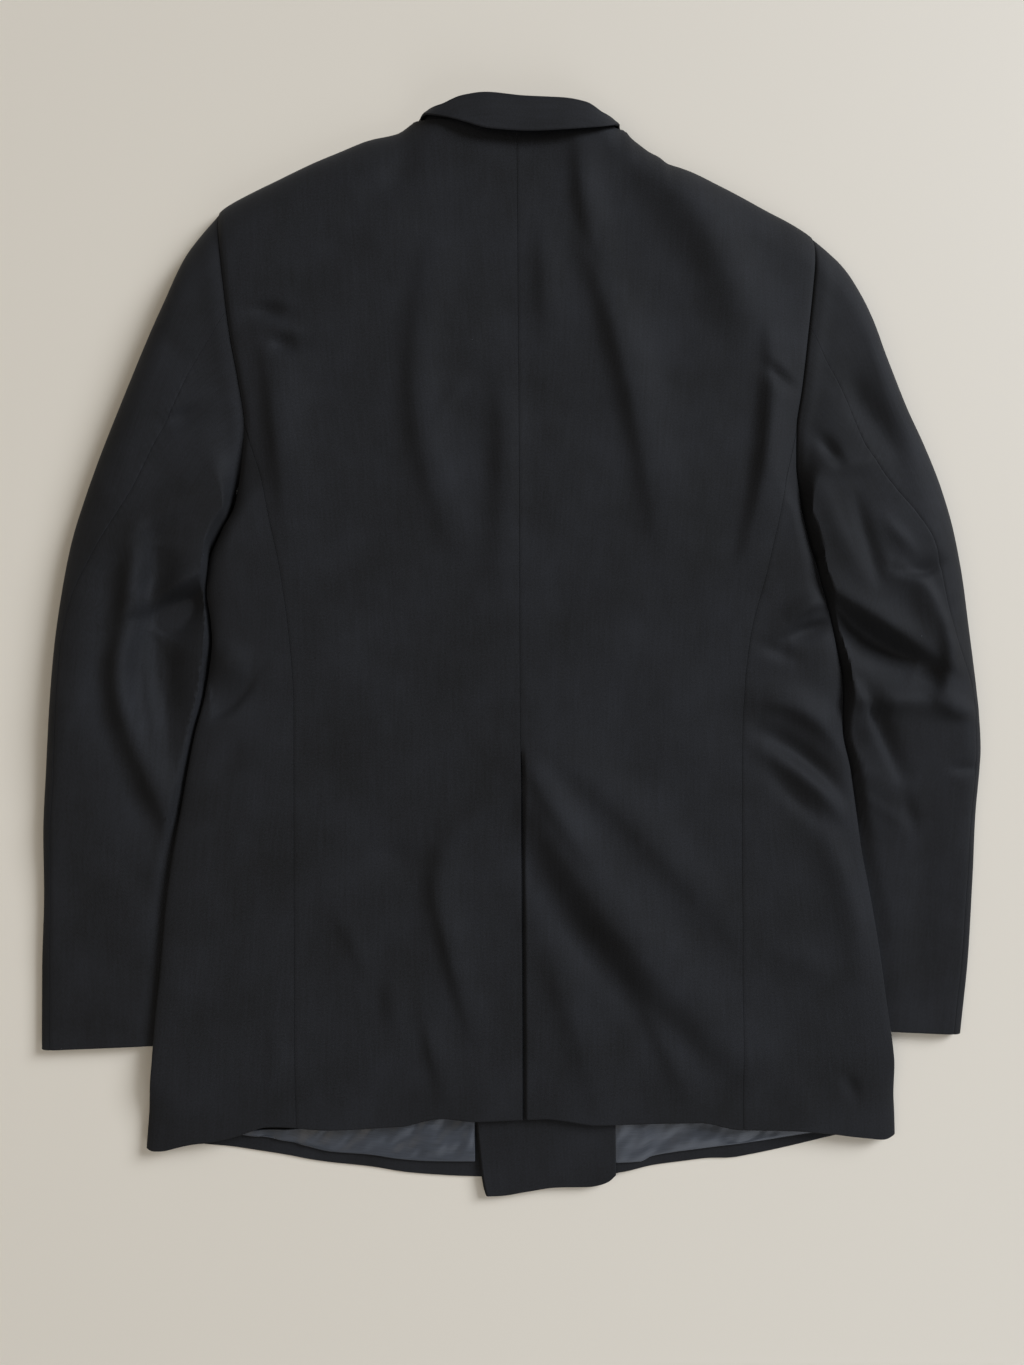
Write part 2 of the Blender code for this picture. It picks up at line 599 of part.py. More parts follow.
def sleeve(side, cloth):
    """Under sleeve and top sleeve, split at the elbow seam on top and the inner seam below."""
    label = name_of(side)
    rows = [0, 0.02, 0.045] + evenly(0.08, 0.72, 20) + evenly(0.77, 1, 5)
    under = [("under", q) for q in (0.16, 0.09, 0.045, 0.012)]
    under += [("top", q) for q in (0, 0.012, 0.05, 0.12, 0.22, 0.34, 0.46, 0.58, 0.7, 0.82, 0.92, 1)]
    over = [("top", q) for q in (1, 1.2, 1.4, 1.6, 1.78, 1.9, 1.97, 2)]
    over += [("under", q) for q in (1.97, 1.8, 1.0, 0.6, 0.16)]
    grid = sleeve_grid(side, rows, under + over[1:])
    if side == RIGHT:
        grid = grid[:, ::-1]
    normals = face_normals(grid)
    flat = normals[0] * (0.0, 1.0, 1.0)
    keep = (flat * normals[0]).sum(-1, keepdims=True)
    least = np.where(grid[0][:, 1:2] > UNDERARM_Y + 60, 0.3, 0.4)
    normals[0] = np.where(keep > least, flat / np.maximum(keep, least), normals[0])
    split = len(under) if side == LEFT else len(over)
    names = ("undersleeve_", "topsleeve_") if side == LEFT else ("topsleeve_", "undersleeve_")
    for name, run in zip(names, (slice(None, split), slice(split - 1, None))):
        outer = grid[:, run]
        inner = outer - normals[:, run] * CLOTH
        draw = edge_draw(outer)
        solid(name + label, outer + draw, inner + draw, cloth)


def edge_draw(grid):
    """Moves for a grid's long borders, inward by the seam gap."""
    move = np.zeros_like(grid)
    for edge, inner in ((0, 1), (-1, -2)):
        run = grid[:, inner] - grid[:, edge]
        move[:, edge] = run / np.linalg.norm(run, axis=-1, keepdims=True) * SEAM
    return move


def front_line(y, side):
    table = LEFT_EDGE if side == LEFT else RIGHT_EDGE
    return read(table, "y", "x", y)


def front_height(x, y, side):
    """Outer face of a front; the right one rises over the left where they cross."""
    z = floor_side(x, y)
    if side == RIGHT:
        over = 1 - ease(x, front_line(y, LEFT) + 8, front_line(y, LEFT) + 38)
        z = z + (CLOTH + PLY) * over
    return z


def front(side, cloth):
    label = name_of(side)
    hem_table = LEFT_HEM if side == LEFT else RIGHT_HEM
    hem_y = hem_y_at(side * 289)
    top_y = shoulder_y(side * SHOULDER_POINT_OUT) - 3
    corner_x = 66.0 if side == LEFT else -29.0
    corner_y = float(flow(corner_x, column(hem_table, "x"), column(hem_table, "y")))

    def outer(t):
        y = hem_y + (top_y - hem_y) * t
        out = read(FRONT_SEAM, "y", label, y) if y < FRONT_POINT_Y else side_out(y, side) - 0.6
        return side * (out - SEAM * 4), y

    def edge(t):
        y = corner_y + (394 - corner_y) * t
        return front_line(y, side), y

    def hem(s):
        a = outer(0.0)[0]
        x = a + (corner_x - a) * s
        return x, flow(x, column(hem_table, "x"), column(hem_table, "y"))

    def shoulder(s):
        a = outer(1.0)[0]
        x = a + (edge(1.0)[0] - a) * s
        short = 3 + 12 * ease(-abs(x), -106, -94) + 0.25 * max(104 - abs(x), 0)
        return x, shoulder_y(side * max(abs(x), 90)) - short

    cols = (0, 0.04, 0.09, 0.15, 0.22, 0.32, 0.44, 0.56, 0.66, 0.76, 0.86, 0.94, 1)
    plan = spread(outer, edge, hem, shoulder, evenly(0, 1, 20), cols)
    grid = lift(plan, lambda x, y: front_height(x, y, side))
    if side == LEFT:
        grid = grid[:, ::-1]
    return wall("front_" + label, grid, CLOTH, cloth)


def lapel(side, cloth):
    """Peak lapel turned out under its front, flat on the floor."""
    first, start_y, lean = (0.06, 4.0, 0.34) if side == LEFT else (0.31, 168.0, 0.27)
    stop_y = ROLL_FOOT_Y + ROLL_RISE * LAPEL_TOP

    def roll(t):
        y = start_y + (stop_y - start_y) * t
        return front_line(y, side) + side * 2.0, y

    def leaf(t):
        share = first + (LAPEL_PEAK - first) * t
        y = ROLL_FOOT_Y + ROLL_RISE * share
        width = read(LAPEL, "share", "width", share)
        return front_line(y, side) + side * width * 0.94, y - width * lean + PEAK_RISE * t ** 6

    foot = between(roll(0), leaf(0))
    top = between(roll(1), leaf(1))
    plan = spread(roll, leaf, foot, top, evenly(0, 1, 9), evenly(0, 1, 6))
    grid = lift(plan, lambda x, y: 0 * x)
    if side == RIGHT:
        grid = grid[:, ::-1]
    return wall("lapel_" + name_of(side), grid, CLOTH, cloth)


def collar(cloth):
    """Collar: stand up to the roll line, a tight bend, and the leaf turned back over it."""
    steps = np.linspace(0, 1, len(COLLAR) - 1)
    v = np.linspace(0, 1, 27)
    at = {name: flow(v, steps, column(COLLAR, name)) for name in COLLAR[0]}
    lines = [np.stack([at[k + "_x"], at[k + "_y"], at[k + "_z"]], -1) for k in ("seam", "roll", "leaf")]
    seam, roll, leaf = lines
    run = np.gradient(roll, axis=0)
    run /= np.linalg.norm(run, axis=-1, keepdims=True)
    away = roll - (seam + leaf) / 2
    away -= (away * run).sum(-1, keepdims=True) * run
    away /= np.linalg.norm(away, axis=-1, keepdims=True)
    up = np.cross(run, away)
    rings = [seam, seam * 0.5 + (roll - up * COLLAR_BEND) * 0.5]
    for turn in (-90, -45, 0, 45, 90):
        angle = np.radians(turn)
        rings.append(roll + (up * np.sin(angle) + away * np.cos(angle)) * COLLAR_BEND)
    lip = roll + up * COLLAR_BEND
    rings += [lip + (leaf - lip) * share for share in (0.35, 0.7, 1.0)]
    middle = np.stack(rings, 1)
    half = face_normals(middle) * (CLOTH / 2)
    return solid("collar", middle + half, middle - half, cloth)


def strip(name, reach, low, side, thickness, cols, material):
    """Piece inside a front, from its lower edge up to under the back hem."""
    xs = np.linspace(reach[0], reach[1], cols)
    top = INSIDE_TOP - 71 * ease(np.abs(xs), 150, 174)
    t = np.linspace(0, 1, 6)[:, None]
    y = low[None, :] * (1 - t) + top[None, :] * t
    x = np.broadcast_to(xs, y.shape)
    if thickness == CLOTH:
        x = x + (front_line(y, side) + 1 - reach[0]) * (reach[1] - xs) / (reach[1] - reach[0])
    z = front_height(x, y, side) + CLOTH + INSIDE_GAP
    return wall(name, np.stack([x, y, z], -1)[:, ::-1], thickness, material)


def hem_pieces(cloth, satin):
    """What shows inside the fronts below the back hem."""
    pieces = (
        ("lining_left", (-212, -41), LEFT_LINING, 0, LEFT, SATIN, 10, satin),
        ("lining_right", (FACING_EDGE + 0.6, 238), RIGHT_LINING, 0, RIGHT, SATIN, 12, satin),
        ("facing_right", (-29, FACING_EDGE), RIGHT_HEM, 1, RIGHT, CLOTH, 8, cloth),
    )
    for name, reach, table, inset, side, thickness, cols, material in pieces:
        low = read(table, "x", "y", np.linspace(reach[0], reach[1], cols)) + inset
        strip(name, reach, low, side, thickness, cols, material)


def button(name, x, y, resin):
    turn = np.linspace(0, 2 * np.pi, BUTTON_SIDES, endpoint=False)
    sizes = ((0.88, 0.0), (1.0, 0.5), (1.0, BUTTON_DEPTH - 0.5), (0.88, BUTTON_DEPTH))
    points = []
    for share, z in sizes:
        r = BUTTON_RADIUS * share
        points += [(MM * (x + r * np.cos(a)), MM * (y + r * np.sin(a)), MM * z) for a in turn]
    faces = [tuple(range(BUTTON_SIDES))[::-1], tuple(range(3 * BUTTON_SIDES, 4 * BUTTON_SIDES))]
    for ring in range(3):
        for k in range(BUTTON_SIDES):
            a = ring * BUTTON_SIDES + k
            b = ring * BUTTON_SIDES + (k + 1) % BUTTON_SIDES
            faces.append((a, b, b + BUTTON_SIDES, a + BUTTON_SIDES))
    return mesh(name, points, faces, resin)


def build():
    for thing in list(bpy.data.objects):
        bpy.data.objects.remove(thing)
    cloth = paint(SUITING)
    satin = paint(SATEEN)
    resin = paint(HORN)
    for side in (LEFT, RIGHT):
        back_panel(side, cloth)
        side_panel(side, cloth)
        sleeve(side, cloth)
        front(side, cloth)
        lapel(side, cloth)
    collar(cloth)
    hem_pieces(cloth, satin)
    for number, (x, y) in enumerate(BUTTONS[1:], 1):
        button(f"button_{number}", x, y, resin)


build()
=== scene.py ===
"""Looks of a double-breasted suit jacket laid flat on its fronts, with the back up.

Lengths are millimetres: X runs across the shoulders, Y up to the collar, Z off the floor. A distance
named "out" is measured from the middle of the jacket to the side in hand. The cut is the solids' own;
rolled edges, pressed seams, creases and the hand of the cloth come on top of it here.
"""

import bpy
import numpy as np
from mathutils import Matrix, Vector


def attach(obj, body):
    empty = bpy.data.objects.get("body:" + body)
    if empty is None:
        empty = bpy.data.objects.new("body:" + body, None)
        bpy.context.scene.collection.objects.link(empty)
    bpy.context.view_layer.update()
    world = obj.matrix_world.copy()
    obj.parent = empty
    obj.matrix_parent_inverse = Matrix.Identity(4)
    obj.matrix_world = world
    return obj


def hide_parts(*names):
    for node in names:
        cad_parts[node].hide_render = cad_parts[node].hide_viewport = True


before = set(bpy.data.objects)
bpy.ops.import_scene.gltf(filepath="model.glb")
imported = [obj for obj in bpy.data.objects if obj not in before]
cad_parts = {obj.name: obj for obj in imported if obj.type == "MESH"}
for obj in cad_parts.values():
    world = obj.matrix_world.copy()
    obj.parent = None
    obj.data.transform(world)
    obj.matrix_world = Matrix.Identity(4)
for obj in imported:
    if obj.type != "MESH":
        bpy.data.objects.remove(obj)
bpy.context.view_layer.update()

MM = 0.001
LEFT = -1
RIGHT = 1
# Thickness of wool and lining, half of the gap at a seam, the play between two plies of the fronts,
# and the gap between the body's edge and the sleeve.
CLOTH = 1.5
SATIN = 1.0
SEAM = 0.14
PLY = 0.6
EDGE_GAP = 0.6
# Height at which the cloth turns over at an edge, lift of the fronts over buttons and lapels, play
# between back and fronts at the shoulder, and height of the sleeve where it lies under the body.
EDGE_ROLL = 4.5
FLOOR_LIFT = 3.5
SHOULDER_REST = 0.4
TUCK_TOP = 8.4
# Centre back seam and the vent below it: the right back runs on under the left one.
CENTRE_X = -4.0
VENT_TOP = -99.0
VENT_UNDERLAP = 40.0
VENT_DROP = 2.7
LAP_STEP = 20.0
# Shoulder point, lowest point of the armhole with the body's edge height there, and where the seams
# of the side body meet the armhole.
SHOULDER_POINT_OUT = 236.5
UNDERARM_Y = 105.0
UNDERARM_EDGE = 5.5
BACK_POINT_Y = 172.0
FRONT_POINT_Y = 140.0
# Depth and half width of the groove at a pressed seam and at the left armhole, whose seam turns in.
# The right armhole turns the other way, so there the sleeve's head has the groove.
SEAM_SINK = 0.3
SEAM_HALF = 1.1
ARMHOLE_SINK = 2.0
CROWN_SINK = 1.8
FLAT_SINK = 0.3
ARMHOLE_HALF = 2.4
# Raises all creases of the body together, for the depth of shade that they have in the photo.
FOLD_RISE = 1.4
# Spacing of the grids, and the sleeve's length, over which its rows are laid.
STEP = 3.0
SLEEVE_STEP = 2.4
SLEEVE_LENGTH = 650

# Side edge of the laid body up to the under arm, then the armhole seam.
SIDE = (
    ("y", "left", "right"),
    (-390, 292, 294.5), (-374, 290.8, 294.3), (-361, 289.7, 293.8), (-344, 288, 292.8), (-320, 286, 291),
    (-281, 283, 286), (-241, 279, 281),
    (-202, 276, 275), (-162, 271, 268), (-122, 264, 263), (-98, 260, 260), (-66, 254, 254),
    (-34, 246, 255), (6, 241, 249), (21, 242, 246), (44, 245, 240), (70, 243, 234),
    (92, 235, 229), (105, 228, 226), (120, 223, 223), (145, 218, 218), (172, 215, 217),
    (203, 219, 221), (243, 226, 226), (284, 231, 231), (322, 235, 235), (345, 237, 237),
)
# Seam between back and side body.
BACK_SEAM = (
    ("y", "left", "right"),
    (-390, 177, 170), (-305, 178, 169), (-167, 178, 170), (-89, 178, 171), (-40, 178, 173),
    (5, 181, 178), (60, 188, 192), (100, 196, 201), (131, 202, 207), (150, 208, 212), (172, 215, 217),
)
# Seam between side body and front, on the floor side.
FRONT_SEAM = (
    ("y", "left", "right"),
    (-390, 250, 252), (-250, 240, 242), (-100, 222, 222), (0, 206, 210), (60, 207, 206),
    (100, 211, 210), (140, 219, 219),
)
# Shoulder fold, closed over the neck so that the loft runs on to the neck seam.
SHOULDER = (
    ("x", "y"),
    (-250, 334), (-238, 345), (-228, 352), (-213, 360.5), (-197, 369), (-166, 384), (-142, 395),
    (-119, 405), (-103, 409), (-97, 411), (-91, 415), (-84, 421), (-76, 428), (-60, 445), (0, 470),
    (60, 445), (77, 423), (84.5, 418), (89, 412.5), (95, 407.5), (104, 401), (111, 397.5), (118, 392),
    (128, 389), (137, 386), (162, 374.5), (186, 363.5), (202, 355.5), (219, 347), (235, 337.5),
    (241, 333), (250, 324),
)
# Half width of the neck, the height of its seam at the centre back, and the seam's line.
NECK = 86.0
NECK_Y = 409.0
NECK_SEAM = (
    ("x", "y"),
    (-88, 420.5), (-84, 417), (-80, 414.8), (-70, 412.6), (-60, 411.5), (-40, 410), (0, 409), (40, 410),
    (60, 411.5), (70, 412), (80, 413), (84, 415), (88, 418),
)
# Hem of the back with the side bodies, and of each front.
BACK_HEM = (
    ("x", "y"),
    (-293, -379), (-286, -381), (-278, -380.5), (-267, -378), (-256, -376), (-241, -374.5), (-219, -370),
    (-200, -365), (-151, -369), (-98, -368), (-68, -363), (-38, -366), (-4, -366), (25, -369), (56, -373),
    (135, -373), (166, -379), (214, -381), (243, -384), (256, -386), (272, -388), (284, -389.5), (295, -387),
)
LEFT_HEM = (
    ("x", "y"),
    (-293, -379), (-243, -384), (-229, -385.5), (-214, -388), (-184, -393.5), (-168, -397), (-153, -399.5),
    (-122, -403.5), (-91, -409), (-45, -413), (0, -415), (40, -416), (70, -417),
)
RIGHT_HEM = (
    ("x", "y"),
    (-36, -427), (-21, -427), (2, -424.4), (25, -422), (49, -422.5), (58, -421.2), (65, -418.5),
    (70, -414.2), (81, -412.8), (97, -410.2), (129, -407.4), (145, -406.3), (162, -406.8), (178, -405),
    (210, -399.8), (243, -393.6), (260, -390.5), (295, -386.5),
)
# Hem at the centre back and out at the side edge, and where each front's hem meets its front edge.
HEM_CENTRE_Y = -366
HEM_CORNER_OUT = 289
LEFT_CORNER_X = 66.0
RIGHT_CORNER_X = -29.0
# Front edge of each front, then its roll line from the top of the closing to the neck.
LEFT_EDGE = (("y", "x"), (-425, 66), (-300, 69), (-20, 68), (10, 62), (398, -80))
RIGHT_EDGE = (
    ("y", "x"),
    (-430, -30.5), (-421, -33.5), (-395, -37), (-370, -39), (-300, -39), (-20, -38), (10, -33), (398, 80),
)
# Loft of the back along the middle, and the way the side edge lies.
LOFT = (
    ("y", "middle", "edge", "roll"),
    (-395, 12, 4.5, 26), (-362, 13, 5, 26), (-324, 16, 13.5, 28), (-250, 18, 13.5, 30),
    (-150, 19, 13.5, 30), (-60, 20, 13.5, 26), (-15, 21, 13.5, 22), (25, 22, 13.5, 20),
    (60, 24, 13.5, 18), (88, 25, 5.5, 16), (105, 26, 5.5, 16), (125, 27, 13, 24), (172, 28, 24, 34),
    (230, 30, 28, 40), (300, 30, 28, 40), (345, 30, 26, 40), (440, 29, 24, 40),
)
# Height of the sleeve tucked under the side of the body, and how far in its edge lies.
TUCK = (
    ("y", "height", "left", "right"),
    (-395, 0, 232, 212), (-362, 0, 232, 212), (-326, 9, 233, 213), (-247, 9, 236, 220),
    (-190, 9, 237, 226), (-140, 9, 238, 232), (-92, 9, 239, 238), (-20, 9, 238, 243),
    (25, 9, 238, 239), (56, 9, 238, 232), (84, 0, 238, 230), (110, 0, 228, 226),
)
# Sleeve rings from the armhole to the cuff, as it lies: outer edge, inner edge, elbow seam, loft.
LEFT_SLEEVE = (
    ("outer_out", "outer_y", "inner_out", "inner_y", "seam", "loft"),
    (237, 344.8, 228, 105, 0.64, 28), (262, 311, 232, 97, 0.60, 28), (280, 270, 236, 88, 0.59, 28),
    (296, 232, 240, 78, 0.60, 28), (311, 194, 240, 67, 0.63, 28), (326, 155, 239, 54, 0.67, 28),
    (339, 118, 239, 40, 0.73, 27), (350, 80, 238, 24, 0.81, 26), (357, 41, 238, 5, 0.90, 25),
    (362, 2, 238, -18, 0.93, 24), (365, -38, 238, -45, 0.93, 23), (367.5, -90, 238, -92, 0.93, 19),
    (369.5, -140, 238, -140, 0.94, 15), (368.8, -190, 237, -190, 0.95, 12), (370, -245, 236, -247, 0.95, 10),
    (369.8, -304, 234, -302, 0.95, 9),
)
RIGHT_SLEEVE = (
    ("outer_out", "outer_y", "inner_out", "inner_y", "seam", "loft"),
    (238, 335.8, 226, 105, 0.65, 28), (263.5, 311, 230, 96, 0.57, 28), (284, 273, 234, 86, 0.55, 28),
    (298, 234, 237, 74, 0.56, 28), (313, 196, 233, 61, 0.61, 28), (328, 164, 234, 48, 0.66, 28),
    (341, 131, 237, 34, 0.73, 28), (351, 95, 240, 18, 0.79, 28), (358, 55, 243, 0, 0.80, 27),
    (363, 12, 244, -20, 0.84, 25), (368, -35, 242, -47, 0.93, 23), (371, -80, 238, -92, 0.94, 19),
    (366, -135, 232, -140, 0.95, 15), (362.5, -190, 226, -190, 0.95, 12), (358, -248, 220, -247, 0.95, 10),
    (350, -311, 214, -302, 0.95, 9),
)
# Collar from the left notch round the neck to the right one: seam, roll line, leaf edge.
COLLAR = (
    ("seam_x", "seam_y", "seam_z", "roll_x", "roll_y", "roll_z", "leaf_x", "leaf_y", "leaf_z"),
    (-46, 313, 4.2, -40, 315, 2.6, -92, 324, 1.0),
    (-58.5, 344, 4.2, -52, 348, 2.6, -106, 352, 1.0),
    (-69.5, 374, 4.2, -63, 380, 2.6, -110, 376, 1.0),
    (-77.5, 395.5, 4.6, -72.5, 402, 3.2, -104, 393, 1.0),
    (-81, 403.5, 7.0, -76.5, 411, 6.5, -86, 408, 5),
    (-81, 411, 9, -77, 418.5, 11, -79.5, 418.5, 14.5),
    (-76, 411.5, 17.2, -73.5, 420, 20.5, -75.5, 416, 27),
    (-62, 409.5, 23.6, -63, 421, 28.5, -61, 411, 34),
    (-44, 408, 25.9, -46, 427.3, 31, -45, 405.5, 37.5),
    (-24, 407, 26, -26, 429.8, 32, -25, 400.3, 38.5),
    (2, 406.5, 26.1, 2, 427.8, 32, 2, 399.2, 38.5),
    (29, 407, 26, 31, 427.3, 32, 29, 400.9, 38.5),
    (46, 408, 25.9, 50, 425, 31, 47, 403.2, 37.5),
    (62, 409.3, 23.4, 64, 418.5, 28, 64, 406.5, 35),
    (77, 410, 15, 75, 417, 18.5, 76.5, 412.3, 27),
    (81, 408.5, 8.5, 77, 416, 10.5, 79.5, 416.5, 14),
    (81, 401.5, 7.0, 77, 409, 6.5, 86, 404.5, 5),
    (77.5, 395.5, 4.6, 72.5, 402, 3.2, 104, 390, 1.0),
    (69.5, 374, 4.2, 63, 380, 2.6, 110, 376, 1.0),
    (58.5, 344, 4.2, 52, 348, 2.6, 106, 352, 1.0),
    (46, 313, 4.2, 40, 315, 2.6, 92, 324, 1.0),
)
COLLAR_BEND = 1.5
# Lapel: share of the roll line, width turned out under the front. Then the shares at which it ends on the
# roll line and at the peak, how far the peak stands up, and the foot and height of the roll line.
LAPEL = (("share", "width"), (0.0, 5), (0.2, 40), (0.4, 74), (0.6, 102), (0.74, 116))
LAPEL_TOP = 0.76
LAPEL_PEAK = 0.74
PEAK_RISE = 34.0
ROLL_FOOT_Y = -20.0
ROLL_RISE = 418.0
ROLL_TOP_Y = 394.0
# Where each lapel starts: share of the roll line, its height, and the lean of the lapel's edge.
LEFT_LAPEL = (0.06, 4.0, 0.34)
RIGHT_LAPEL = (0.31, 168.0, 0.27)
# Lower edge of the lining on each front, and the reach across of each strip that shows at the hem.
LEFT_LINING = (
    ("x", "y"),
    (-226, -372), (-183, -380), (-153, -388.5), (-122, -392), (-100, -396), (-76, -398.5), (-41, -400),
)
RIGHT_LINING = (
    ("x", "y"),
    (69, -404), (89, -404), (98, -400.5), (148, -395), (171, -393), (222, -387), (240, -385),
)
FACING_EDGE = 69.0
LEFT_LINING_REACH = (-222, -41)
RIGHT_LINING_REACH = (FACING_EDGE + 0.6, 238)
FACING_REACH = (-29, FACING_EDGE)
# Upper end of these strips, and the play between them and the front.
INSIDE_TOP = -300.0
INSIDE_GAP = 1.3
# Buttons of the outer front: two columns of three.
BUTTONS = (("x", "y"), (46, -28), (46, -118), (46, -208), (-62, -28), (-62, -118), (-62, -208))
BUTTON_RADIUS = 10.0
BUTTON_DEPTH = 3.0
HOLE_OUT = 1.9

# Creases as curves through three points. Their half widths, left and right of the way along the curve,
# make one side soft and the other steep, and the height is below 0 for a trough.
BODY_CREASES = (
    ("near", "far", "height", "x0", "y0", "x1", "y1", "x2", "y2"),
    # Drag lines from the vent's top across the right skirt.
    (14, 8, 3.0, 5, -90, 16, -116, 44, -158),
    (28, 17, 7.5, 3, -108, 68, -212, 164, -316),
    (12, 16, -3.5, 4, -146, 40, -222, 148, -338),
    (20, 12, 3.0, 16, -220, 31, -272, 56, -348),
    (14, 9, 2.8, 86, -262, 104, -302, 126, -346),
    (20, 12, 3.0, 18, -76, 89, -143, 164, -226),
    # Right shoulder blade.
    (14, 8, 1.6, 16, 322, 17, 286, 18, 246),
    (16, 7, 3.4, 45, 400, 48, 350, 56, 318),
    (24, 9, 4.8, 53, 303, 77, 224, 102, 106),
    (26, 20, 5.8, 93, 384, 140, 332, 178, 249),
    (20, 7, 5.2, 195, 232, 192, 162, 177, 83),
    (4, 7, -2.8, 192, 221, 201, 213, 212, 205),
    # Left shoulder blade.
    (22, 9, 4.4, -197, 235, -189, 174, -182, 97),
    (5, 8, -4.5, -211, 257, -197, 259, -182, 256),
    (6, 5, 1.6, -194, 246, -182, 242, -169, 240),
    (8, 6, -4.2, -195, 234, -184, 231, -172, 232),
    (18, 11, 3.8, -69, 306, -82, 190, -56, 90),
    (15, 10, 3.0, -18, 203, -16, 152, -19, 67),
    (6, 5, 0.9, -68, 175, -57, 191, -46, 203),
    (12, 12, -2.0, -89, 407, -95, 369, -129, 342),
    # Left skirt and waist.
    (6, 14, 2.0, -4, -109, -36, -130, -63, -153),
    (14, 15, -2.2, -122, -154, -96, -163, -68, -166),
    (14, 11, 3.2, -56, -146, -66, -175, -72, -205),
    (14, 7, 3.6, -69, -188, -60, -230, -43, -292),
    (12, 6, 2.2, -79, -286, -73, -308, -65, -338),
    (10, 7, 1.8, -101, -252, -104, -270, -101, -288),
    (8, 6, 1.3, -143, -208, -133, -226, -125, -248),
    (8, 5, 1.0, -195, -288, -192, -306, -195, -330),
    (10, 20, 3.5, -242, -7, -225, -9, -209, -12),
    (20, 5, -4.0, -242, -50, -227, -44, -210, -24),
    (10, 10, -1.8, -215, -72, -228, -87, -240, -101),
    # Right waist.
    (12, 5, 4.0, 207, 19, 226, 31, 246, 36),
    (4, 9, -4.4, 209, 7, 229, 15, 249, 18),
    (6, 6, -2.2, 188, 0, 201, -4, 214, -9),
    (14, 8, 5.0, 186, -42, 222, -54, 255, -86),
    (8, 8, -4.2, 186, -66, 220, -86, 252, -118),
    (8, 6, 2.8, 188, -84, 222, -106, 250, -134),
    (7, 8, -2.4, 193, -98, 217, -123, 234, -136),
    (12, 14, 3.6, 226, -140, 252, -188, 264, -256),
    (16, 14, 1.8, 191, -234, 215, -246, 242, -259),
    # Hem of the right side body.
    (5, 6, -2.0, 250, -338, 256, -347, 260, -358),
    (12, 14, 1.4, 196, -330, 214, -352, 222, -378),
)
SLEEVE_CREASES = (
    ("near", "far", "height", "x0", "y0", "x1", "y1", "x2", "y2"),
    # Left: hollow at the armhole, then the rim, pocket and lip of the elbow fold.
    (6, 5, 1.2, -261, 262, -251, 252, -241, 242),
    (9, 9, -2.0, -274, 239, -263, 229, -251, 225),
    (12, 6, -8.0, -212, 188, -243, 182, -272, 172),
    (16, 10, 4.5, -328, 67, -290, 92, -231, 132),
    (20, 6, -9.5, -281, 78, -283, 54, -287, 30),
    (9, 3, 5.5, -286, 37, -266, 47, -246, 58),
    (5, 24, -19.0, -288, 24, -268, 33, -245, 46),
    (22, 7, -8.5, -287, 14, -294, -18, -288, -62),
    (27, 6, -11.0, -284, 14, -280, -22, -272, -74),
    # The ridge that runs round the pocket and down the forearm, and the hollow outside it.
    (7, 9, 6.0, -294, 87, -298, 44, -304, -8),
    (9, 10, 6.0, -303, 16, -306, -38, -279, -106),
    (12, 13, -4.0, -312, 66, -316, 36, -319, -8),
    (12, 12, -4.5, -318, 6, -320, -42, -304, -94),
    (12, 8, 4.2, -291, -88, -280, -113, -266, -148),
    (12, 12, -3.0, -306, -94, -294, -118, -279, -152),
    (14, 14, -1.8, -308, -164, -292, -184, -277, -204),
    (16, 18, 1.8, -343, -154, -311, -185, -280, -216),
    # Right: hollow over the upper arm and two short ones at the armhole.
    (14, 16, 3.0, 285, 244, 303, 204, 320, 159),
    (12, 14, -5.0, 252, 216, 278, 182, 302, 146),
    (4.5, 5, -2.0, 234, 219, 242, 210, 247, 199),
    (5, 6, -5.5, 220, 174, 238, 162, 249, 146),
    (7, 8, 2.4, 224, 144, 255, 143, 285, 149),
    # Drag lines down to the elbow.
    (8, 9, 2.2, 236, 125, 251, 86, 270, 50),
    (6, 6, -3.2, 263, 115, 272, 84, 281, 52),
    (6, 6, 2.4, 287, 99, 297, 87, 308, 76),
    (7, 4.5, -4.8, 293, 62, 311, 58, 330, 64),
    # The elbow's hooked ridge, its lip and the folds under it.
    (6, 12, 6.0, 292, 64, 317, 45, 333, 9),
    (11, 5, 6.0, 333, 12, 336, -18, 329, -43),
    (12, 5, 5.0, 328, -42, 344, -53, 361, -52),
    (12, 4, 4.5, 246, 42, 284, 18, 322, -4),
    (5, 22, -17.0, 244, 34, 281, 7, 316, -13),
    (12, 8, 6.0, 250, -40, 290, -44, 331, -44),
    (9, 4, -7.0, 268, -30, 281, -62, 297, -100),
    (10, 10, -2.8, 252, -52, 259, -70, 268, -84),
    (12, 12, 2.4, 262, -97, 281, -109, 302, -114),
    (4, 4, 1.2, 258, -113, 282, -128, 304, -145),
    (5, 6, -2.6, 303, -119, 307, -131, 311, -146),
    (4, 4, -3.0, 342, -97, 353, -98, 366, -96),
    (8, 8, -3.6, 252, -126, 264, -143, 273, -156),
    (14, 14, -1.6, 322, -130, 318, -190, 316, -250),
)


# ---------------------------------------------------------------- curves and grids

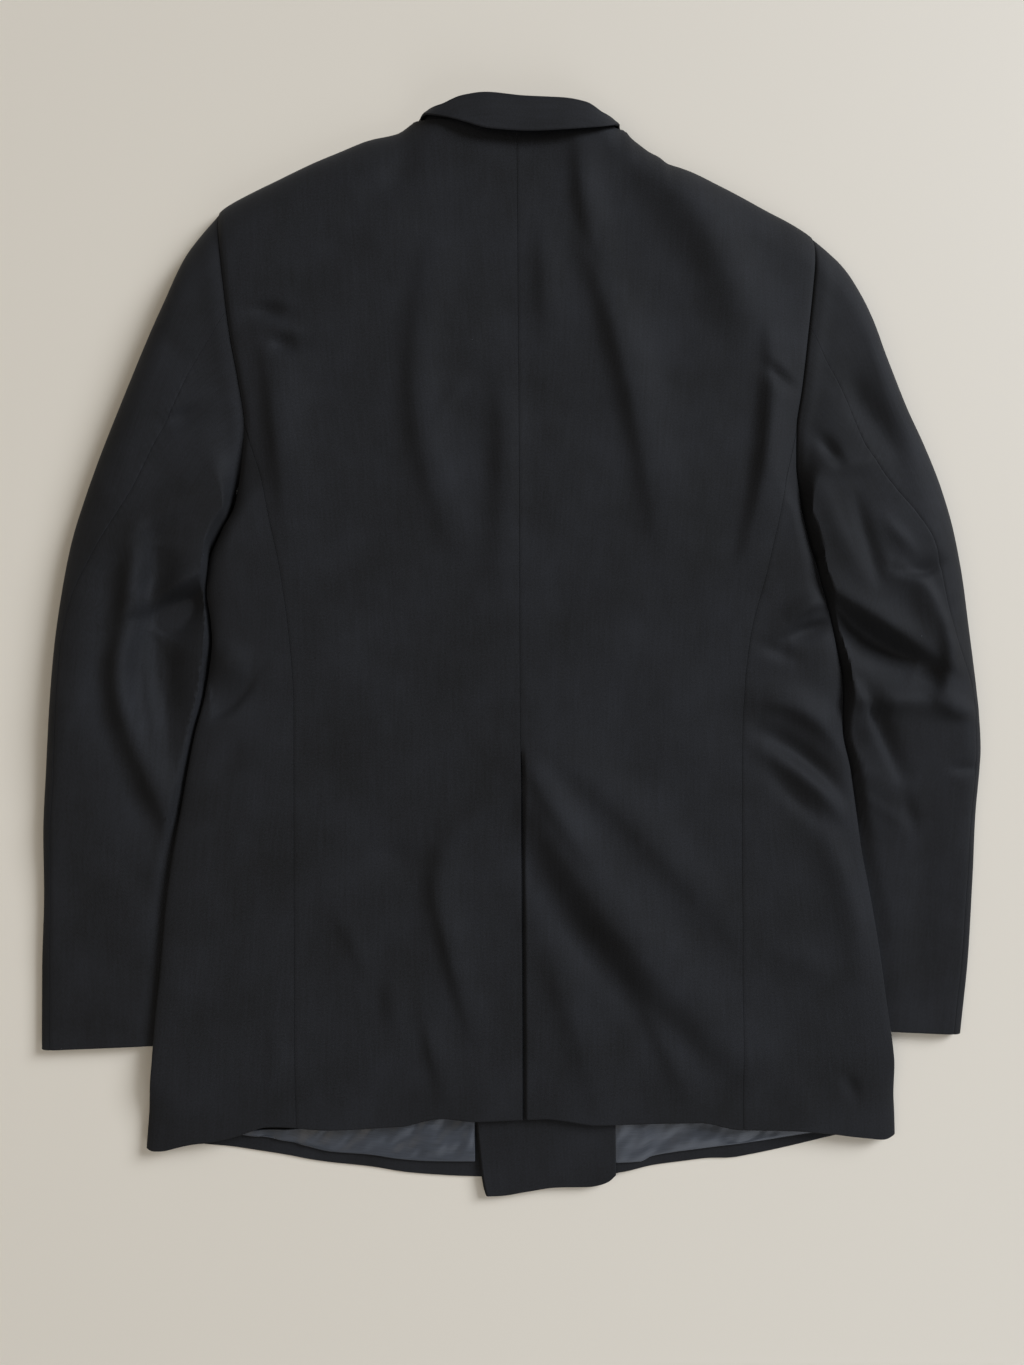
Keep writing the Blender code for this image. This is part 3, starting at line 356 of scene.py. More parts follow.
def flow(at, knots, values):
    """Smooth curve through the knots that never swings past them."""
    x = np.asarray(knots, float)
    y = np.asarray(values, float)
    if x[0] > x[-1]:
        x = x[::-1]
        y = y[::-1]
    step = np.diff(x)
    slope = np.diff(y) / step
    tangent = np.zeros_like(y)
    same = slope[:-1] * slope[1:] > 0
    mean = 2 * slope[:-1] * slope[1:] / np.where(same, slope[:-1] + slope[1:], 1)
    tangent[1:-1] = np.where(same, mean, 0)
    tangent[0] = slope[0]
    tangent[-1] = slope[-1]
    q = np.clip(np.asarray(at, float), x[0], x[-1])
    i = np.clip(np.searchsorted(x, q) - 1, 0, len(x) - 2)
    h = step[i]
    t = (q - x[i]) / h
    rise = y[i] + t * t * (3 - 2 * t) * (y[i + 1] - y[i])
    return rise + h * t * (1 - t) * ((1 - t) * tangent[i] - t * tangent[i + 1])


def column(table, name):
    """One named column of a table whose first row holds the names."""
    return [row[table[0].index(name)] for row in table[1:]]


def read(table, key, name, at):
    """Value of a named column where the key column has the given value."""
    return flow(at, column(table, key), column(table, name))


def ease(x, start, end):
    """0 before start, 1 after end, soft between."""
    t = np.clip((np.asarray(x, float) - start) / (end - start), 0, 1)
    return t * t * (3 - 2 * t)


def dome(depth, width):
    """Quarter round from 0 at the edge to 1 at the given width."""
    t = np.clip(1 - np.asarray(depth, float) / width, 0, 1)
    return np.sqrt(1 - t * t)


def bell(distance, half):
    """1 on the line and 0.37 at the half width from it."""
    return np.exp(-(np.asarray(distance, float) / half) ** 2)


def name_of(side):
    return "left" if side == LEFT else "right"


def plan(x, y):
    """Points of the plan from their x and y."""
    return np.stack(np.broadcast_arrays(np.asarray(x, float), np.asarray(y, float)), -1)


def stations(length, step, rounds=()):
    """Shares of a length at even steps, closer at both ends and round the quarter rounds at its end."""
    shares = [np.linspace(0, 1, max(int(round(length / step)), 2) + 1)]
    ends = np.array([0.7, 1.7]) / length
    shares += [ends, 1 - ends]
    for width in rounds:
        turn = np.radians(np.arange(0, 90, 7))
        shares.append(1 - width * (1 - np.cos(turn)) / length)
    merged = np.unique(np.clip(np.concatenate(shares), 0, 1))
    keep = np.concatenate([[True], np.diff(merged) > 0.12 / length])
    merged = merged[keep]
    merged[-1] = 1.0
    return merged


def spread(left, right, bottom, top, rows, cols):
    """Plan grid between four border lines, each a function of shares 0..1."""
    t = rows[:, None, None]
    s = cols[None, :, None]
    first = left(rows)[:, None, :]
    last = right(rows)[:, None, :]
    low = bottom(cols)[None, :, :]
    high = top(cols)[None, :, :]
    # Lower and upper line are drawn to the ends of the other two, so that the corners close.
    low = low + (first[0] - low[:, :1]) * (1 - s) + (last[0] - low[:, -1:]) * s
    high = high + (first[-1] - high[:, :1]) * (1 - s) + (last[-1] - high[:, -1:]) * s
    corners = (1 - t) * ((1 - s) * first[0] + s * last[0]) + t * ((1 - s) * first[-1] + s * last[-1])
    return (1 - s) * first + s * last + (1 - t) * low + t * high - corners


def lift(points, height):
    """Plan points raised by a height function."""
    x = points[..., 0]
    y = points[..., 1]
    return np.stack([x, y, height(x, y)], -1)


def face_normals(grid):
    """Unit normals of a grid of points, one-sided at its borders."""
    down = np.gradient(grid, axis=0)
    across = np.gradient(grid, axis=1)
    normal = np.cross(across, down)
    return normal / np.maximum(np.linalg.norm(normal, axis=-1, keepdims=True), 1e-9)


def uneven(x, y, wave, seed):
    """Slow random swell of the cloth, about -1 to 1, from a few crossing waves."""
    rng = np.random.default_rng(seed)
    total = np.zeros(np.shape(x))
    for _ in range(9):
        heading, phase, stretch = rng.uniform(0, 2 * np.pi), rng.uniform(0, 2 * np.pi), rng.uniform(0.7, 1.6)
        k = 2 * np.pi / (wave * stretch)
        total += np.cos(k * (x * np.cos(heading) + y * np.sin(heading)) + phase)
    return total / 4


# ---------------------------------------------------------------- the laid form

def side_out(y, side):
    """Distance out of the body's side edge, and above the under arm of the armhole."""
    return read(SIDE, "y", name_of(side), y)


def shoulder_y(x):
    return read(SHOULDER, "x", "y", x)


def tuck_lift(x, y, side):
    """Height that the tucked sleeve gives the body's floor side."""
    height = read(TUCK, "y", "height", y)
    inner = read(TUCK, "y", name_of(side), y)
    return height * ease(side * x, inner - 34, inner - 5)


def floor_side(x, y):
    """Outer face of the fronts: flat on the floor, lifted over lapels, buttons and tucked sleeves."""
    middle = FLOOR_LIFT * (1 - ease(np.abs(x), 160, 200)) * ease(y, -345, -235)
    return middle + tuck_lift(x, y, LEFT) + tuck_lift(x, y, RIGHT)


def creases(table, x, y):
    """Sum of the creases of a table at plan points."""
    x = np.asarray(x, float)
    y = np.asarray(y, float)
    total = np.zeros(x.shape)
    steps = np.linspace(0, 1, 33)
    for near, far, height, x0, y0, x1, y1, x2, y2 in table[1:]:
        reach = 3 * max(near, far)
        close = (x > min(x0, x1, x2) - reach) & (x < max(x0, x1, x2) + reach)
        close &= (y > min(y0, y1, y2) - reach) & (y < max(y0, y1, y2) + reach)
        if not close.any():
            continue
        px, py = x[close], y[close]
        bend_x, bend_y = 2 * x1 - (x0 + x2) / 2, 2 * y1 - (y0 + y2) / 2
        cx = (1 - steps) ** 2 * x0 + 2 * steps * (1 - steps) * bend_x + steps ** 2 * x2
        cy = (1 - steps) ** 2 * y0 + 2 * steps * (1 - steps) * bend_y + steps ** 2 * y2
        gap = np.hypot(np.subtract.outer(px, cx), np.subtract.outer(py, cy))
        nearest = gap.argmin(-1)
        way_x, way_y = np.gradient(cx)[nearest], np.gradient(cy)[nearest]
        off = ((px - cx[nearest]) * way_y - (py - cy[nearest]) * way_x) / np.hypot(way_x, way_y)
        ended = (nearest == 0) | (nearest == len(steps) - 1)
        past = np.where(ended, np.sqrt(np.maximum(gap.min(-1) ** 2 - off ** 2, 0)), 0)
        width = np.where(off > 0, far, near)
        on = ((px - cx[nearest]) * way_x + (py - cy[nearest]) * way_y) / (way_x ** 2 + way_y ** 2)
        taper = 0.35 + 0.65 * np.sin(np.pi * np.clip(steps[nearest] + on * steps[1], 0, 1))
        total[close] += height * taper * np.exp(-(off / width) ** 2 - (past / max(near, far)) ** 2)
    return total


def seam_dip(east):
    """Pressed seam: the cloth east of it rolls down into it, the other edge stands up."""
    return np.where(east >= 0, -SEAM_SINK * bell(east, SEAM_HALF), 0)


def pucker(along, distance, seed):
    """Small gathers that a line of stitches draws into the cloth beside it."""
    wave = np.sin(along * 2 * np.pi / 13 + 2.2 * np.sin(along * 2 * np.pi / 71 + seed))
    return 0.13 * wave * np.exp(-np.asarray(distance, float) / 6)


def back_height(x, y):
    """Outer face of the back above the floor."""
    x = np.asarray(x, float)
    y = np.asarray(y, float)
    side = np.where(x < 0, LEFT, RIGHT)
    out = np.where(side == LEFT, side_out(y, LEFT), side_out(y, RIGHT))
    depth = out - np.abs(x)
    middle = read(LOFT, "y", "middle", y)
    edge = read(LOFT, "y", "edge", y)
    roll = read(LOFT, "y", "roll", y)
    inside = ease(depth, 0, 14)
    crest = middle + FOLD_RISE * creases(BODY_CREASES, x, y)
    crest = crest + 0.45 * uneven(x, y, 70, 3) + 0.1 * uneven(x, y, 22, 4)
    seam_out = np.where(side == LEFT, read(BACK_SEAM, "y", "left", y), read(BACK_SEAM, "y", "right", y))
    east = np.where(y < BACK_POINT_Y, x - side * seam_out, 99)
    crest = crest + seam_dip(east) + pucker(y, np.abs(east), 1.0) * inside
    east = np.where(y > VENT_TOP, x - CENTRE_X, 99)
    crest = crest + seam_dip(east) * ease(y, VENT_TOP - 4, VENT_TOP + 20) + pucker(y, np.abs(east), 2.0)
    height = edge + (crest - edge) * dome(depth, roll)
    rolled = np.where(side == LEFT, ARMHOLE_SINK, FLAT_SINK)
    height = height - rolled * np.where(y > UNDERARM_Y, bell(depth, ARMHOLE_HALF), 0)
    fall = (shoulder_y(x) - y) * 0.9
    end = floor_side(x, y) + SHOULDER_REST
    return end + (height - end) * dome(fall, 38)


def body_under(x, y, side):
    """Outer face of the side body on the floor side, rolled up at the side edge."""
    depth = side_out(y, side) - side * x
    flat = floor_side(x, y)
    armhole = UNDERARM_EDGE * (1 - ease(y, UNDERARM_Y, UNDERARM_Y + 25))
    edge = np.where(y < UNDERARM_Y, read(LOFT, "y", "edge", y), armhole)
    return flat + (edge - flat) * (1 - dome(depth, 7))


def front_line(y, side):
    """Front edge and roll line of a front."""
    table = LEFT_EDGE if side == LEFT else RIGHT_EDGE
    return read(table, "y", "x", y)


def front_height(x, y, side):
    """Outer face of a front; the right one rises over the left where they cross."""
    z = floor_side(x, y)
    if side == RIGHT:
        over = 1 - ease(x, front_line(y, LEFT) + 8, front_line(y, LEFT) + 38)
        z = z + (CLOTH + PLY) * over
    return z


# ---------------------------------------------------------------- shells

def rim_places(rows, cols):
    """Grid places round the border, in order, with the way out of the cloth at each."""
    walk = [(0, j) for j in range(cols)]
    walk += [(i, cols - 1) for i in range(1, rows)]
    walk += [(rows - 1, j) for j in range(cols - 2, -1, -1)]
    walk += [(i, 0) for i in range(rows - 2, 0, -1)]
    inward = []
    for i, j in walk:
        di = 1 if i == 0 else -1 if i == rows - 1 else 0
        dj = 1 if j == 0 else -1 if j == cols - 1 else 0
        inward.append((i + di, j + dj))
    return walk, inward


def squared(grid, normals):
    """Normals whose first and last column stand square to their border, so that seams stay parallel."""
    out = normals.copy()
    for edge in (0, -1):
        run = np.gradient(grid[:, edge], axis=0)
        across = np.stack([run[:, 1], -run[:, 0], 0 * run[:, 0]], -1)
        across /= np.maximum(np.linalg.norm(across, axis=-1, keepdims=True), 1e-9)
        lean = normals[:, edge]
        upright = lean - (lean * across).sum(-1, keepdims=True) * across
        out[:, edge] = upright / np.maximum((upright * lean).sum(-1, keepdims=True), 0.5)
    return out


def shell(name, node, outer, inner, cloth, lining=None, hem=(0, 0)):
    """Thin closed cloth between two grids, its edges turned round, with threads laid out along the grid.

    hem gives the rows at the start and at the end whose inside is the cloth's own turning and not the lining.
    """
    rows, cols = outer.shape[:2]
    count = rows * cols
    walk, inward = rim_places(rows, cols)
    bulge = []
    for place, behind in zip(walk, inward):
        way = outer[place] - outer[behind]
        way = way / max(np.linalg.norm(way), 1e-9)
        thick = np.linalg.norm(outer[place] - inner[place])
        folded = lining is None or (place[0] == 0 and hem[0]) or (place[0] == rows - 1 and hem[1])
        bulge.append((outer[place] + inner[place]) / 2 + way * (thick * 0.45 if folded else SEAM))
    points = np.concatenate([outer.reshape(-1, 3), inner.reshape(-1, 3), np.array(bulge)]) * MM
    index = np.arange(count).reshape(rows, cols)
    quads = np.stack([index[:-1, :-1], index[:-1, 1:], index[1:, 1:], index[1:, :-1]], -1).reshape(-1, 4)
    border = np.array([index[place] for place in walk])
    following = np.roll(border, -1)
    middle = 2 * count + np.arange(len(border))
    after = np.roll(middle, -1)
    faces = np.concatenate([
        quads,
        quads[:, ::-1] + count,
        np.stack([following, border, middle, after], -1),
        np.stack([after, middle, border + count, following + count], -1),
    ])
    mesh = bpy.data.meshes.new(name)
    mesh.from_pydata(points.tolist(), [], faces.tolist())
    across = np.linalg.norm(np.diff(outer, axis=1), axis=-1).cumsum(1)
    along = np.linalg.norm(np.diff(outer, axis=0), axis=-1).cumsum(0)
    u = np.concatenate([np.zeros((rows, 1)), across], 1)
    v = np.concatenate([np.zeros((1, cols)), along], 0)
    flat = np.stack([u - u[:, cols // 2:cols // 2 + 1], v], -1).reshape(-1, 2)
    grain = np.concatenate([flat, flat, flat[border]]) * MM
    corners = np.empty(len(mesh.loops), dtype=np.int32)
    mesh.loops.foreach_get("vertex_index", corners)
    layer = mesh.uv_layers.new(name="grain")
    layer.data.foreach_set("uv", grain[corners].ravel())
    mesh.materials.append(cloth)
    if lining is not None:
        mesh.materials.append(lining)
        slots = np.zeros(len(faces), dtype=np.int32)
        row_of = np.repeat(np.arange(rows - 1), cols - 1)
        lined = (row_of >= hem[0]) & (row_of < rows - 1 - hem[1])
        slots[len(quads):2 * len(quads)][lined] = 1
        mesh.polygons.foreach_set("material_index", slots)
    mesh.polygons.foreach_set("use_smooth", np.ones(len(faces), dtype=bool))
    mesh.set_sharp_from_angle(angle=np.radians(58))
    mesh.update()
    return stand_in(name, mesh, node)


def stand_in(name, mesh, node):
    """Object for a mesh that takes the place of its solid."""
    piece = bpy.data.objects.new(name, mesh)
    bpy.context.scene.collection.objects.link(piece)
    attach(piece, "root")
    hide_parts(node)
    return piece


def wall(name, node, outer, thickness, cloth, lining=None, hem=(0, 0)):
    """Cloth of one thickness behind its outer face."""
    inner = outer - squared(outer, face_normals(outer)) * thickness
    return shell(name, node, outer, inner, cloth, lining, hem)


# ---------------------------------------------------------------- pieces

def hem_y_at(x):
    return read(BACK_HEM, "x", "y", x)


def seam_foot(side):
    """Height of the hem at the foot of the back seam."""
    return float(hem_y_at(side * read(BACK_SEAM, "y", name_of(side), HEM_CENTRE_Y)))


def back_panel(side, cloth, lining):
    """Back from the hem to the shoulder; the right one runs on under the left below the vent top."""
    label = name_of(side)
    foot = seam_foot(side)
    top_y = float(shoulder_y(side * SHOULDER_POINT_OUT))

    def outer(t):
        y = foot + (top_y - foot) * t
        out = np.where(y < BACK_POINT_Y, read(BACK_SEAM, "y", label, y), side_out(y, side))
        return plan(side * (out - SEAM), y)

    def centre(t):
        x = CENTRE_X + SEAM * side if side == LEFT else CENTRE_X + LAP_STEP
        return plan(x + 0 * t, HEM_CENTRE_Y + (NECK_Y - HEM_CENTRE_Y) * t)

    def hem(s):
        x = outer(np.zeros(1))[0, 0]
        x = x + (centre(np.zeros(1))[0, 0] - x) * s
        return plan(x, hem_y_at(x))

    def head(s):
        start = outer(np.ones(1))[0, 0]
        x = start + (centre(np.ones(1))[0, 0] - start) * s
        over_neck = read(NECK_SEAM, "x", "y", x)
        return plan(x, np.where(side * x > NECK + 0.1, shoulder_y(x), over_neck))

    def height(x, y):
        z = back_height(x, y)
        if side == RIGHT:
            beside = 1 - ease(x, CENTRE_X + 0.5, CENTRE_X + 4)
            z = z - VENT_DROP * beside * (1 - ease(y, VENT_TOP + 4, VENT_TOP + 26))
        else:
            gape = bell(x - CENTRE_X, 5) * ease(-y, -VENT_TOP, 20 - VENT_TOP) * (1 - ease(-y, 150, 320))
            z = z + 0.7 * gape
        return z

    rows = stations(top_y - foot, STEP, (42,))
    corner = outer(np.ones(1))[0, 0]
    cols = stations(abs(corner - centre(np.ones(1))[0, 0]), STEP)
    points = spread(outer, centre, hem, head, rows, cols)
    if side == RIGHT:
        points = np.concatenate([points, underlap(points[:, -1])], 1)
    grid = lift(points, height)
    if side == RIGHT:
        grid = grid[:, ::-1]
    return wall("cloth_back_" + label, "back_" + label, grid, CLOTH, cloth, lining, (10, 0))


def underlap(border):
    """Columns from the last one of the right back to the centre seam, or under the vent below it."""
    y = border[:, 1]
    lap = 1 - ease(y, VENT_TOP - 42, VENT_TOP + 2)
    columns = []
    places = (17, 14, 11, 8.5, 6.5, 5, 4, 3.2, 2.5, 1.9, 1.3, 0.7, 0, -1, -4, -10, -20, -30, -VENT_UNDERLAP)
    for k, below in enumerate(places, 1):
        above = LAP_STEP + (SEAM - LAP_STEP) * k / len(places)
        columns.append(plan(CENTRE_X + above + (below - above) * lap, y))
    return np.stack(columns, 1)


def side_panel(side, cloth, lining):
    """Side body: back seam, round the side edge, to the front seam on the floor side."""
    label = name_of(side)
    hem_y = float(hem_y_at(side * HEM_CORNER_OUT))
    foot = seam_foot(side)

    def seam_line(t):
        y = foot + (BACK_POINT_Y - foot) * t
        return plan(side * (read(BACK_SEAM, "y", label, y) + SEAM), y)

    def edge_line(t):
        y = hem_y + (UNDERARM_Y - hem_y) * t
        return plan(side * (side_out(y, side) - SEAM), y)

    def under_line(t):
        y = hem_y + (FRONT_POINT_Y - hem_y) * t
        return plan(side * (read(FRONT_SEAM, "y", label, y) + SEAM), y)

    def hem(s):
        x = seam_line(np.zeros(1))[0, 0] * (1 - s) + edge_line(np.zeros(1))[0, 0] * s
        return plan(x, hem_y_at(x))

    def hem_under(s):
        x = edge_line(np.zeros(1))[0, 0] * (1 - s) + under_line(np.zeros(1))[0, 0] * s
        return plan(x, hem_y)

    def arm(s):
        y = BACK_POINT_Y + (UNDERARM_Y - BACK_POINT_Y) * s
        return plan(side * (side_out(y, side) - SEAM), y)

    def arm_under(s):
        y = UNDERARM_Y + (FRONT_POINT_Y - UNDERARM_Y) * s
        return plan(side * (side_out(y, side) - SEAM), y)

    rows = stations(BACK_POINT_Y - foot, STEP)
    over = spread(seam_line, edge_line, hem, arm, rows, stations(112, STEP, (28,)))
    turned = 1 - stations(40, 4, (7,))[::-1]
    below = spread(edge_line, under_line, hem_under, arm_under, rows, turned)
    top = lift(over, back_height)
    bottom = lift(below, lambda x, y: body_under(x, y, side))
    grid = np.concatenate([top, bottom[:, 1:]], 1)
    if side == LEFT:
        grid = grid[:, ::-1]
    return wall("cloth_side_" + label, "side_" + label, grid, CLOTH, cloth, lining, (10, 0))


def sleeve_rings(side, rows):
    """Sizes of the sleeve's rings at each row.

    cover is how much of it lies under the body, tucked is 1 where it does so, rise is how far from the
    body's edge it has its full height, roll is the width of its outer edge's round, start fades out the
    armhole's curve, and down is the way from the armhole.
    """
    table = LEFT_SLEEVE if side == LEFT else RIGHT_SLEEVE
    at = {name: flow(rows, np.linspace(0, 1, len(table) - 1), column(table, name)) for name in table[0]}
    edge_out = side_out(at["inner_y"], side)
    beside = edge_out + EDGE_GAP
    at["inner_out"] = at["inner_out"] + (beside - at["inner_out"]) * ease(at["inner_y"], 54, 80)
    at["cover"] = np.maximum(edge_out - at["inner_out"], 0)
    at["width"] = np.hypot(at["outer_out"] - at["inner_out"], at["outer_y"] - at["inner_y"])
    at["tucked"] = ease(rows, 0.12, 0.24)
    at["roll"] = 14 + 22 * (1 - ease(rows, 0.4, 0.9))
    at["start"] = np.clip(1 - rows / 0.12, 0, 1)
    at["rise"] = 5 + 10 * ease(rows, 0.7, 0.9)
    at["down"] = rows * SLEEVE_LENGTH
    return at


def sleeve_top(side, at, x, y, s, armhole_y):
    """Outer face of the sleeve above the floor, low where it goes on under the body."""
    inside = s * at["width"]
    outside = (1 - s) * at["width"]
    head = 1 - ease(at["down"] / SLEEVE_LENGTH, 0, 0.05 + 0.11 * ease(s, 0, 0.5))
    crest = at["loft"] + creases(SLEEVE_CREASES, x, y) * (1 - head)
    crest = crest + 0.4 * uneven(x, y, 60, 5) + 0.1 * uneven(x, y, 20, 6)
    east = side * (s - at["seam"]) * at["width"]
    crest = crest + (seam_dip(east) + pucker(at["down"], np.abs(east), 3.0)) * ease(outside, 0, 8)
    low = EDGE_ROLL + (TUCK_TOP - EDGE_ROLL) * dome(inside, 8)
    under = low + np.maximum(crest - low, 0.6) * ease(inside, at["cover"] + 0.8, at["cover"] + at["rise"])
    beside = EDGE_ROLL + (crest - EDGE_ROLL) * dome(inside, 8)
    z = beside + (under - beside) * at["tucked"]
    z = EDGE_ROLL + (z - EDGE_ROLL) * dome(outside, at["roll"])
    body = np.maximum(back_height(side * side_out(armhole_y, side), armhole_y), EDGE_ROLL)
    z = z + (body - z) * head
    sunk = FLAT_SINK if side == LEFT else CROWN_SINK
    crown = (bell(at["down"] - 14, 12) - sunk * bell(at["down"], 2)) * ease(inside, 4, 30) * dome(outside, 30)
    return z + crown


def sleeve_grid(side, rows, places):
    """Outer points of the sleeve: places are (layer, share of the way from the inner edge)."""
    at = sleeve_rings(side, rows)
    shoulder = shoulder_y(side * SHOULDER_POINT_OUT)
    columns = []
    for layer, share in places:
        s = share * at["seam"] if share <= 1 else at["seam"] + (share - 1) * (1 - at["seam"])
        armhole_y = UNDERARM_Y + (shoulder - UNDERARM_Y) * s
        straight = (side_out(UNDERARM_Y, side) + EDGE_GAP) * (1 - s) + at["outer_out"][0] * s
        bow = side_out(armhole_y, side) + SEAM - straight
        x = side * (at["inner_out"] + (at["outer_out"] - at["inner_out"]) * s + bow * at["start"])
        y = at["inner_y"] + (at["outer_y"] - at["inner_y"]) * s
        if layer == "top":
            z = sleeve_top(side, at, x, y, s, armhole_y)
        else:
            z = EDGE_ROLL * (1 - dome(np.minimum(s, 1 - s) * at["width"], 6))
        columns.append(np.stack([x, y, z], -1))
    return np.stack(columns, 1)


def edge_draw(grid):
    """Moves for a grid's long borders, inward by the seam gap."""
    move = np.zeros_like(grid)
    for edge, inner in ((0, 1), (-1, -2)):
        run = grid[:, inner] - grid[:, edge]
        move[:, edge] = run / np.maximum(np.linalg.norm(run, axis=-1, keepdims=True), 1e-9) * SEAM
    return move


def sleeve(side, cloth, lining):
    """Under sleeve and top sleeve, split at the elbow seam on top and the inner seam below."""
    label = name_of(side)
    rows = stations(SLEEVE_LENGTH, SLEEVE_STEP)
    inner_run = 1 - stations(90, SLEEVE_STEP, (20,))[::-1]
    outer_run = 1 + stations(44, SLEEVE_STEP, (34, 14))
    under = [("under", q) for q in (0.16, 0.12, 0.09, 0.066, 0.045, 0.03, 0.018, 0.009, 0.003)]
    under += [("top", q) for q in inner_run]
    over = [("top", q) for q in outer_run]
    over += [("under", q) for q in (1.99, 1.97, 1.94, 1.88, 1.8, 1.7, 1.5, 1.25)]
    over += [("under", q) for q in (1.0, 0.85, 0.7, 0.55, 0.4, 0.28, 0.16)]
    grid = sleeve_grid(side, rows, under + over[1:])
    if side == RIGHT:
        grid = grid[:, ::-1]
    normals = face_normals(grid)
    split = len(under) if side == LEFT else len(over)
    names = ("undersleeve_", "topsleeve_") if side == LEFT else ("topsleeve_", "undersleeve_")
    pieces = []
    for name, run in zip(names, (slice(None, split), slice(split - 1, None))):
        draw = edge_draw(grid[:, run])
        outer = grid[:, run] + draw
        inner = grid[:, run] - normals[:, run] * CLOTH + draw
        pieces.append(shell("cloth_" + name + label, name + label, outer, inner, cloth, lining, (0, 16)))
    return pieces


def front(side, cloth):
    """Front on the floor, from the seam of the side body to its front edge and roll line."""
    label = name_of(side)
    hem_table = LEFT_HEM if side == LEFT else RIGHT_HEM
    hem_y = float(hem_y_at(side * HEM_CORNER_OUT))
    top_y = float(shoulder_y(side * SHOULDER_POINT_OUT)) - 3
    corner_x = LEFT_CORNER_X if side == LEFT else RIGHT_CORNER_X
    corner_y = float(read(hem_table, "x", "y", corner_x))

    def outer(t):
        y = hem_y + (top_y - hem_y) * t
        out = np.where(y < FRONT_POINT_Y, read(FRONT_SEAM, "y", label, y), side_out(y, side) - 0.6)
        return plan(side * (out - SEAM * 4), y)

    def edge(t):
        y = corner_y + (ROLL_TOP_Y - corner_y) * t
        return plan(front_line(y, side), y)

    def hem(s):
        start = outer(np.zeros(1))[0, 0]
        x = start + (corner_x - start) * s
        return plan(x, read(hem_table, "x", "y", x))

    def shoulder(s):
        start = outer(np.ones(1))[0, 0]
        x = start + (edge(np.ones(1))[0, 0] - start) * s
        short = 3 + 12 * ease(-np.abs(x), -106, -94) + 0.25 * np.maximum(104 - np.abs(x), 0)
        return plan(x, shoulder_y(side * np.maximum(np.abs(x), 90)) - short)

    points = spread(outer, edge, hem, shoulder, stations(800, 5), stations(300, 5))
    grid = lift(points, lambda x, y: front_height(x, y, side))
    if side == LEFT:
        grid = grid[:, ::-1]
    return wall("cloth_front_" + label, "front_" + label, grid, CLOTH, cloth)


def lapel(side, cloth):
    """Peak lapel turned out under its front, flat on the floor."""
    first, start_y, lean = LEFT_LAPEL if side == LEFT else RIGHT_LAPEL
    stop_y = ROLL_FOOT_Y + ROLL_RISE * LAPEL_TOP

    def roll(t):
        y = start_y + (stop_y - start_y) * t
        return plan(front_line(y, side) + side * 2.0, y)

    def leaf(t):
        share = first + (LAPEL_PEAK - first) * t
        y = ROLL_FOOT_Y + ROLL_RISE * share
        width = read(LAPEL, "share", "width", share)
        return plan(front_line(y, side) + side * width * 0.94, y - width * lean + PEAK_RISE * t ** 6)

    def between(end):
        a, b = roll(np.array([end]))[0], leaf(np.array([end]))[0]
        return lambda s: a + (b - a) * s[:, None]

    points = spread(roll, leaf, between(0.0), between(1.0), stations(300, 4), stations(110, 4))
    grid = lift(points, lambda x, y: 0 * x)
    if side == RIGHT:
        grid = grid[:, ::-1]
    label = name_of(side)
    return wall("cloth_lapel_" + label, "lapel_" + label, grid, CLOTH, cloth)


def collar(cloth):
    """Collar: stand up to the roll line, a tight bend, and the leaf turned back over it."""
    v = stations(330, 2.0)
    at = {name: flow(v, np.linspace(0, 1, len(COLLAR) - 1), column(COLLAR, name)) for name in COLLAR[0]}
    seam, roll, leaf = (
        np.stack([at[line + axis] for axis in ("_x", "_y", "_z")], -1) for line in ("seam", "roll", "leaf")
    )
    run = np.gradient(roll, axis=0)
    run /= np.linalg.norm(run, axis=-1, keepdims=True)
    away = roll - (seam + leaf) / 2
    away -= (away * run).sum(-1, keepdims=True) * run
    away /= np.linalg.norm(away, axis=-1, keepdims=True)
    up = np.cross(run, away)
    foot = roll - up * COLLAR_BEND
    rings = [seam + (foot - seam) * share for share in np.linspace(0, 0.9, 8)]
    for turn in np.radians(np.arange(-90, 91, 15)):
        rings.append(roll + (up * np.sin(turn) + away * np.cos(turn)) * COLLAR_BEND)
    lip = roll + up * COLLAR_BEND
    for share in (0.06, 0.12, 0.2, 0.3, 0.4, 0.5, 0.6, 0.7, 0.8, 0.88, 0.94, 0.975, 1.0):
        belly = 0.5 * np.sin(np.pi * share)
        rings.append(lip + (leaf - lip) * share + up * belly)
    middle = np.stack(rings, 1)
    half = face_normals(middle) * (CLOTH / 2)
    return shell("cloth_collar", "collar", middle + half, middle - half, cloth)


def strip(name, reach, table, inset, side, thickness, cloth):
    """Piece inside a front, from its lower edge up to under the back hem."""
    across = stations(reach[1] - reach[0], 2.5)
    xs = reach[0] + (reach[1] - reach[0]) * across
    low = read(table, "x", "y", xs) + inset
    # Out beside the tucked sleeve the strip stops lower.
    top = INSIDE_TOP - 71 * ease(np.abs(xs), 150, 174)
    t = stations(100, 2.5)[:, None]
    y = low[None, :] * (1 - t) + top[None, :] * t
    x = np.broadcast_to(xs, y.shape)
    if thickness == CLOTH:
        x = x + (front_line(y, side) + 1 - reach[0]) * (1 - across)
    z = front_height(x, y, side) + CLOTH + INSIDE_GAP
    if thickness == SATIN:
        fade = ease(t, 0, 0.06) * ease(reach[1] - x, 0, 4) * ease(x - reach[0], 0, 4)
        z = z + (0.7 * uneven(x, y, 26, 8) + 0.4 * uneven(x, y, 12, 9) + 0.3) * fade
    return wall("cloth_" + name, name, np.stack([x, y, z], -1)[:, ::-1], thickness, cloth)


